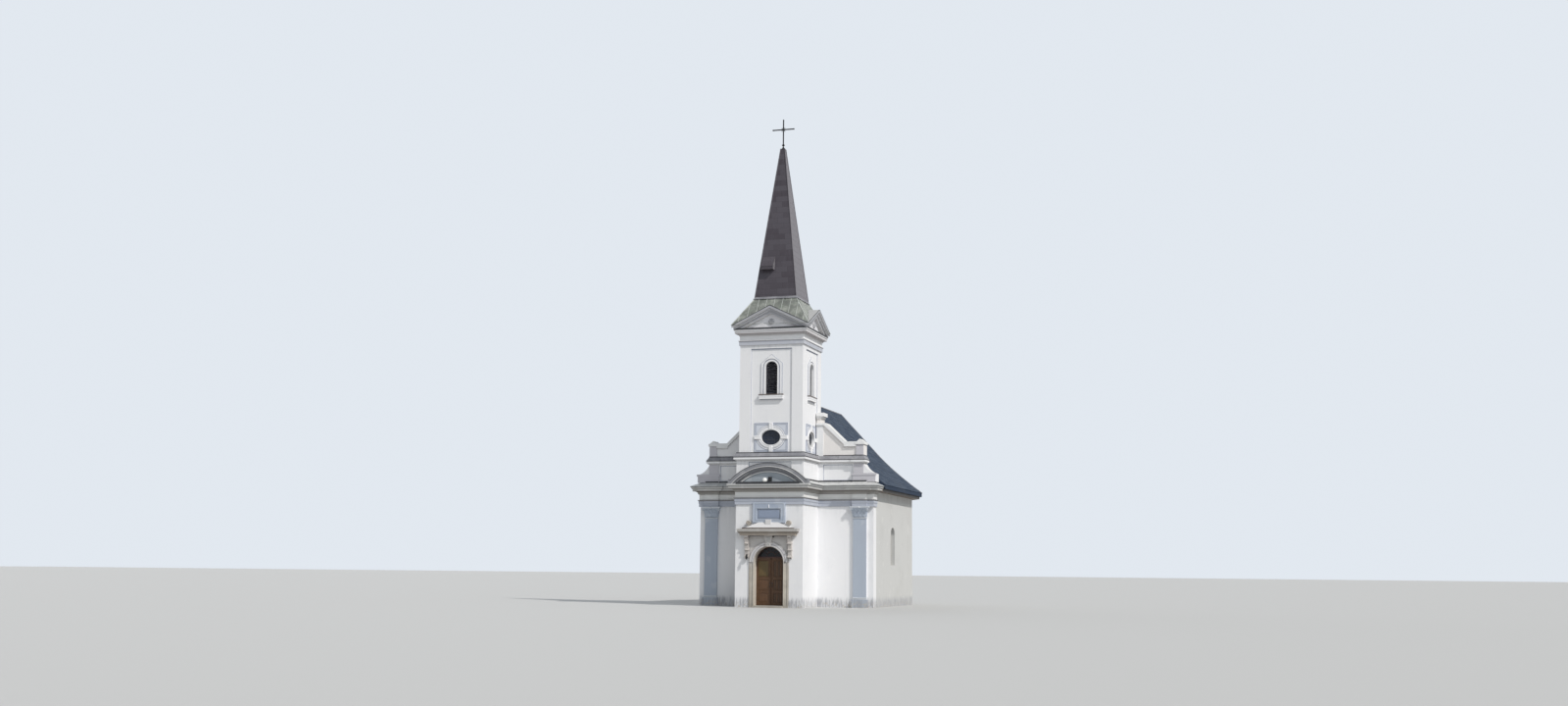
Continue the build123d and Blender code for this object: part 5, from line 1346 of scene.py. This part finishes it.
def acanthus(foot, along, out, width, height, curl):
    """Grid of a leaf, with u from its foot to its tip and v from edge to edge.

    Its width swells as the sine of pi * u and closes as u^6, with a scalloped edge. It bends outward
    as curl * u^3, arched by 1 - v^2 and ribbed by a cosine of v, and its tip drops by a share of u^8.
    """
    u, v = np.meshgrid(np.linspace(0, 1, 13), np.linspace(-1, 1, 9), indexing="ij")
    half = width / 2 * (0.50 + 0.62 * np.sin(np.pi * np.minimum(u * 0.95, 1))) * (1 - 0.75 * u ** 6)
    half = half * (1 + 0.10 * np.cos(2 * np.pi * 3.5 * u))
    lift = 0.012 + curl * u ** 3 + 0.016 * (1 - v ** 2) + 0.006 * np.cos(3 * np.pi * v)
    rise = height * (u - 0.14 * u ** 8)
    return (np.asarray(foot) + (v * half)[..., None] * np.asarray(along) + lift[..., None] * np.asarray(out)
            + rise[..., None] * upward)


# Capitals: rolls at the foot, two rows of leaves, corner volutes on stalks and a moulded abacus
leaf_row = 0.66
leaf_widths = 0.62
leaf_foot = capital_foot + 0.03
stalk_foot = capital_foot + 0.24
stalk = np.linspace(0, 1, 12)
leaves = Surface()
capital_trim = Surface()
for side in (-1, 1):
    inner, outer = side * pilaster_inner, side * pilaster_outer
    middle = (inner + outer) / 2
    for count, height, curl, start, lean in ((4, 0.26, 0.075, 0.03, 0.0), (3, 0.42, 0.13, 0.05, 0.012)):
        for index in range(count):
            x = middle + ((index + 0.5) / count - 0.5) * leaf_row
            leaves.grid(acanthus((x, pilaster_front - lean, capital_foot + start), (1, 0, 0), (0, -1, 0),
                                 leaf_widths / count, height, curl))
    for edge, way in ((inner, -side), (outer, side)):
        leaves.grid(acanthus((edge, pilaster_front + 0.06, leaf_foot), (0, 1, 0), (way, 0, 0),
                             0.12, 0.28, 0.07))
        capital_trim.scroll((edge + way * 0.10, pilaster_front - 0.145, abacus_foot - 0.075), (-way, 0, 0),
                            (0, 0, 1), 0.078, (0.017, 0.007))
        path = (edge - way * 0.16 * (1 - stalk) ** 1.5, pilaster_front - 0.03 - 0.10 * stalk ** 2,
                stalk_foot + (abacus_foot - stalk_foot) * np.sqrt(stalk))
        capital_trim.bar(np.stack(path, -1), np.linspace(0.018, 0.014, 12))
    run = three_sides(sorted((inner, outer)), facade_y, pilaster_front)
    capital_trim.moulding(run, ring((0.012, capital_foot - 0.02), (0.022, 0), (0, 0.026), 10))
    capital_trim.moulding(run, [(0.145, abacus_foot + 0.004), (0.158, abacus_foot + 0.010),
                                (0.168, abacus_foot + 0.030), (0.168, order_height - 0.002),
                                (0.145, order_height - 0.002)])
    for z, swell in ((0.44, 0.030), (0.50, 0.020)):
        capital_trim.moulding(run, ring((0.010, z), (swell, 0), (0, 0.028), 10))
    capital_trim.grid(rosette((middle, pilaster_front - 0.165, order_height - 0.05), 0.06, 0.035, 6),
                      wrap_columns=True, ends=True)
leaves.piece("capital_leaves", tinted_render, "render_mouldings", smooth=60, thick=0.012)
capital_trim.piece("capital_trim", capital_render, "render_mouldings", smooth=60)

# Wall lantern: a six-sided cage between a cup and a cap, on its arm with a scroll and a wall plate
lantern_x, lantern_y = -console_x - 0.06, face_y - 0.25
lantern_z = low("wall_lantern").z
lantern_foot = (lantern_x, lantern_y, lantern_z)
cage_radius = 0.042
lantern = Surface().lathe([
    (0.0, 0.0), (0.012, 0.0), (0.014, 0.014), (0.030, 0.020), (0.044, 0.034), (0.046, 0.046), (0.040, 0.050),
    (0.0, 0.050)], lantern_foot, 20)
lantern.lathe([(0.0, 0.196), (0.052, 0.196), (0.058, 0.204), (0.050, 0.216), (0.026, 0.244), (0.014, 0.256),
               (0.016, 0.268), (0.010, 0.278), (0.0, 0.280)], lantern_foot, 20)
for x, y, z in ring(lantern_foot, (cage_radius, 0, 0), (0, cage_radius, 0), 6):
    lantern.bar([(x, y, z + 0.04), (x, y, z + 0.205)], 0.004)
for rise in (0.09, 0.15):
    hoop = ring((lantern_x, lantern_y, lantern_z + rise), (cage_radius, 0, 0), (0, cage_radius, 0), 20)
    lantern.bar(hoop, 0.003, closed=True, guide=upward)
lantern.block((lantern_x - 0.012, lantern_y - 0.01, lantern_z + 0.250), (0.024, 0, 0), (0, 0.26, 0),
              (0, 0, 0.024))
lantern.scroll((lantern_x, face_y - 0.115, lantern_z + 0.185), (0, 1, 0), (0, 0, 1), 0.065,
               (0.007, 0.007), 1.4, to_right)
lantern.lathe([(0.0, -0.002), (0.045, -0.002), (0.045, 0.008), (0.03, 0.014), (0.0, 0.014)],
              (lantern_x, face_y, lantern_z + 0.262), 20, "front")
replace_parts(lantern.piece("lantern_cage", iron, "iron", smooth=40), "wall_lantern")
Surface().lathe([(0.0, 0.052), (0.034, 0.052), (0.036, 0.12), (0.034, 0.194), (0.0, 0.194)], lantern_foot,
                20).piece("lantern_glass", lantern_pane, "window_glass", smooth=40)

# Lamps in the curved pediment: a globe on a cup, and a finned housing on a bent pipe beside it
globe_x, lamp_y = -lamp_radius, face_y - 0.12 - lamp_radius
globe = Surface().lathe(half_circle(0.135, 17), (globe_x, lamp_y, corona_top + lamp_radius), 32)
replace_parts(globe.piece("lamp_globe", globe_glass, "lamp", smooth=60), "floodlight")
housing = Surface().lathe([(0.0, 0.0), (0.09, 0.0), (0.09, 0.012), (0.05, 0.02), (0.045, 0.05), (0.07, 0.062),
                           (0.0, 0.062)], (globe_x, lamp_y, corona_top), 24)
housing.field((0.02, 0.19), (corona_top + 0.10, corona_top + 0.33), lamp_y - 0.03,
              [(0.0, -0.12), (0.0, 0.02), (0.012, 0.03), (0.03, 0.03), (0.036, 0.022)])
for fin in range(6):
    housing.block((0.195, lamp_y - 0.05, corona_top + 0.12 + 0.034 * fin), (0.014, 0, 0), (0, 0.12, 0),
                  (0, 0, 0.012))
housing.bar([(globe_x, lamp_y + 0.10, corona_top + 0.02), (-0.03, lamp_y + 0.09, corona_top + 0.05),
             (0.05, lamp_y + 0.06, corona_top + 0.13)], 0.013, 8, guide=upward)
housing.block((0.06, lamp_y - 0.03, corona_top), (0.09, 0, 0), (0, 0.10, 0), (0, 0, 0.11))
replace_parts(housing.piece("lamp_housing", iron, "lamp", smooth=40, bevel=0.002), "floodlight")

# Cross: balls on the ends, a ring and short rays at the crossing, and a collar at its foot
cross_top, arm_half = high("cross").z, high("cross").x
crossing = (0, axis_y, cross_top - cross_drop)
cross_trim = Surface()
for x, z in ((0.03 - arm_half, crossing[2]), (arm_half - 0.03, crossing[2]), (0, cross_top - 0.03)):
    cross_trim.lathe(half_circle(0.042, 9), (x, axis_y, z), 12)
for angle in (45, 135, 225, 315):
    cross_trim.bar(ray(crossing, angle, 0.02, 0.17), [0.012, 0.004])
cross_trim.bar(ring(crossing, (0.105, 0, 0), (0, 0, 0.105), 24), 0.008, closed=True)
cross_trim.lathe([(0.0, -0.02), (0.12, -0.02), (0.125, 0.01), (0.07, 0.05), (0.045, 0.10), (0.03, 0.16),
                  (0.0, 0.16)], (0, axis_y, spire_top), 16)
cross_trim.piece("cross_trim", iron, "iron", smooth=50)

# Glazing bars of the nave and apse windows
window_foot = low("window_glass").z
glass_depth = 0.225
pane_height = 0.26
bar_offset = 0.137
glazing = Surface()
windows = [((side * nave_half, facade_y + window_y, 0), (side, 0.0, 0)) for side in (1, -1)]
windows += [((side * (nave_half + apse_half) / 2, (corner_y + apse_end_y) / 2, 0),
             (side * slant_x, slant_y, 0)) for side in (1, -1)]
for centre, out in windows:
    out, along = np.array(out), np.array([-out[1], out[0], 0.0])
    setting = np.array(centre) - glass_depth * out
    for t in (-bar_offset, bar_offset):
        top = window_spring + math.sqrt(window_half ** 2 - t ** 2)
        glazing.block(setting + (t - 0.012) * along + window_foot * upward, 0.024 * along, -0.018 * out,
                      (top - window_foot) * upward)
    for z in np.arange(window_foot + pane_height, window_spring + 0.3, pane_height):
        reach = math.sqrt(window_half ** 2 - max(z - window_spring, 0) ** 2)
        glazing.block(setting - reach * along + (z - 0.010) * upward, 2 * reach * along, -0.016 * out,
                      0.020 * upward)
glazing.piece("window_glazing_bars", frame_paint, "window_paint")

# Spire hatch: a sheet frame on its face and ribs on its lid
hatch_low, hatch_high = low("spire_hatch"), high("spire_hatch")
hatch_trim = Surface().frame((hatch_low.x, hatch_high.x), (hatch_low.z, hatch_low.z + 0.1875), hatch_low.y,
                             strip(0.0, 0.03, -0.004, 0.014))
lid_top = axis_y - spire_half + (hatch_high.z - spire_foot) * taper
for x in np.linspace(hatch_low.x + 0.01, hatch_high.x - 0.01, 4):
    hatch_trim.bar([(x, hatch_low.y - 0.008, hatch_low.z + 0.19), (x, lid_top, hatch_high.z)], 0.014)
hatch_trim.piece("hatch_trim", hatch_sheet, "spire_sheet", smooth=50)

# Small dark fittings under the hood and on the right jamb
fittings = Surface()
for x, y, z, size in ((0.25, face_y - 0.075, 3.56, 0.045), (0.88, face_y - 0.045, 2.30, 0.035)):
    fittings.lathe([(0.0, -0.004), (size, -0.004), (size, 0.02), (0.6 * size, 0.045), (0.0, 0.05)],
                   (x, y, z), 16, "front")
fittings.piece("wall_fittings", iron, "iron", smooth=40)

# Camera at the photograph's viewpoint
image_width = 1600
focal_pixels = 1590.56
sensor_width = 36
eye = Vector((24.433, face_y - 76.018, 1.899))
yaw, pitch, roll = math.radians(17.333), math.radians(7.918), math.radians(0.540)
forward = Vector((-math.sin(yaw) * math.cos(pitch), math.cos(yaw) * math.cos(pitch), math.sin(pitch)))
level_right = Vector((math.cos(yaw), math.sin(yaw), 0))
level_up = level_right.cross(forward)
camera_right = math.cos(roll) * level_right + math.sin(roll) * level_up
camera_up = math.cos(roll) * level_up - math.sin(roll) * level_right
camera_data = bpy.data.cameras.new("camera")
camera_data.lens = focal_pixels / image_width * sensor_width
camera_data.sensor_width = sensor_width
camera_data.clip_end = 1000
camera = bpy.data.objects.new("camera", camera_data)
bpy.context.scene.collection.objects.link(camera)
axes = Matrix((camera_right, camera_up, -forward)).transposed()
camera.matrix_world = Matrix.Translation(eye) @ axes.to_4x4()
bpy.context.scene.camera = camera


def sun(name, azimuth, elevation, strength, color, spread):
    """A distant lamp; azimuth 0 shines onto the facade from the front, 90 from the right."""
    lamp_data = bpy.data.lights.new(name, "SUN")
    lamp_data.energy = strength
    lamp_data.color = color
    lamp_data.angle = math.radians(spread)
    lamp = bpy.data.objects.new(name, lamp_data)
    bpy.context.scene.collection.objects.link(lamp)
    a, e = math.radians(azimuth), math.radians(elevation)
    toward = Vector((math.sin(a) * math.cos(e), -math.cos(a) * math.cos(e), math.sin(e)))
    lamp.rotation_euler = toward.to_track_quat("Z", "Y").to_euler()


sun("sun", 62, 45, 2.62, (1.0, 0.965, 0.925), 0.8)
sun("open sky", 36, 30, 0.50, (0.88, 0.94, 1.0), 30)
sun("back sky", 225, 35, 0.80, (0.92, 0.95, 1.0), 60)

# World: soft pale-blue daylight, and a pale sky where the camera, a gloss or a glass sees it
world = bpy.data.worlds.new("daylight")
bpy.context.scene.world = world
world.use_nodes = True
sky = world.node_tree
sky.nodes.clear()
rays = sky.nodes.new("ShaderNodeLightPath")
choice = sky.nodes.new("ShaderNodeMixShader")
shown = sky.nodes.new("ShaderNodeOutputWorld")
for index, (color, strength) in enumerate((((0.87, 0.93, 1.0), 0.31), ((0.76, 0.81, 0.87), 1.0)), 1):
    light = sky.nodes.new("ShaderNodeBackground")
    light.inputs["Color"].default_value = (*color, 1)
    light.inputs["Strength"].default_value = strength
    sky.links.new(light.outputs[0], choice.inputs[index])
seen = rays.outputs["Is Camera Ray"]
for kind in ("Is Glossy Ray", "Is Transmission Ray"):
    either = sky.nodes.new("ShaderNodeMath")
    either.operation = "MAXIMUM"
    sky.links.new(seen, either.inputs[0])
    sky.links.new(rays.outputs[kind], either.inputs[1])
    seen = either.outputs[0]
sky.links.new(seen, choice.inputs[0])
sky.links.new(choice.outputs[0], shown.inputs[0])

# Floor: a pale plain ground that keeps the shadow
ground_reach = 600.0
ground_mesh = bpy.data.meshes.new("ground")
ground_corners = [(x * ground_reach, y * ground_reach, 0) for x, y in ((-1, -1), (1, -1), (1, 1), (-1, 1))]
ground_mesh.from_pydata(ground_corners, [], [(0, 1, 2, 3)])
ground_mesh.materials.append(Finish("pale ground", (0.50, 0.50, 0.49), 0.9).material)
ground = bpy.data.objects.new("ground", ground_mesh)
bpy.context.scene.collection.objects.link(ground)

bpy.context.scene.view_settings.view_transform = "Standard"
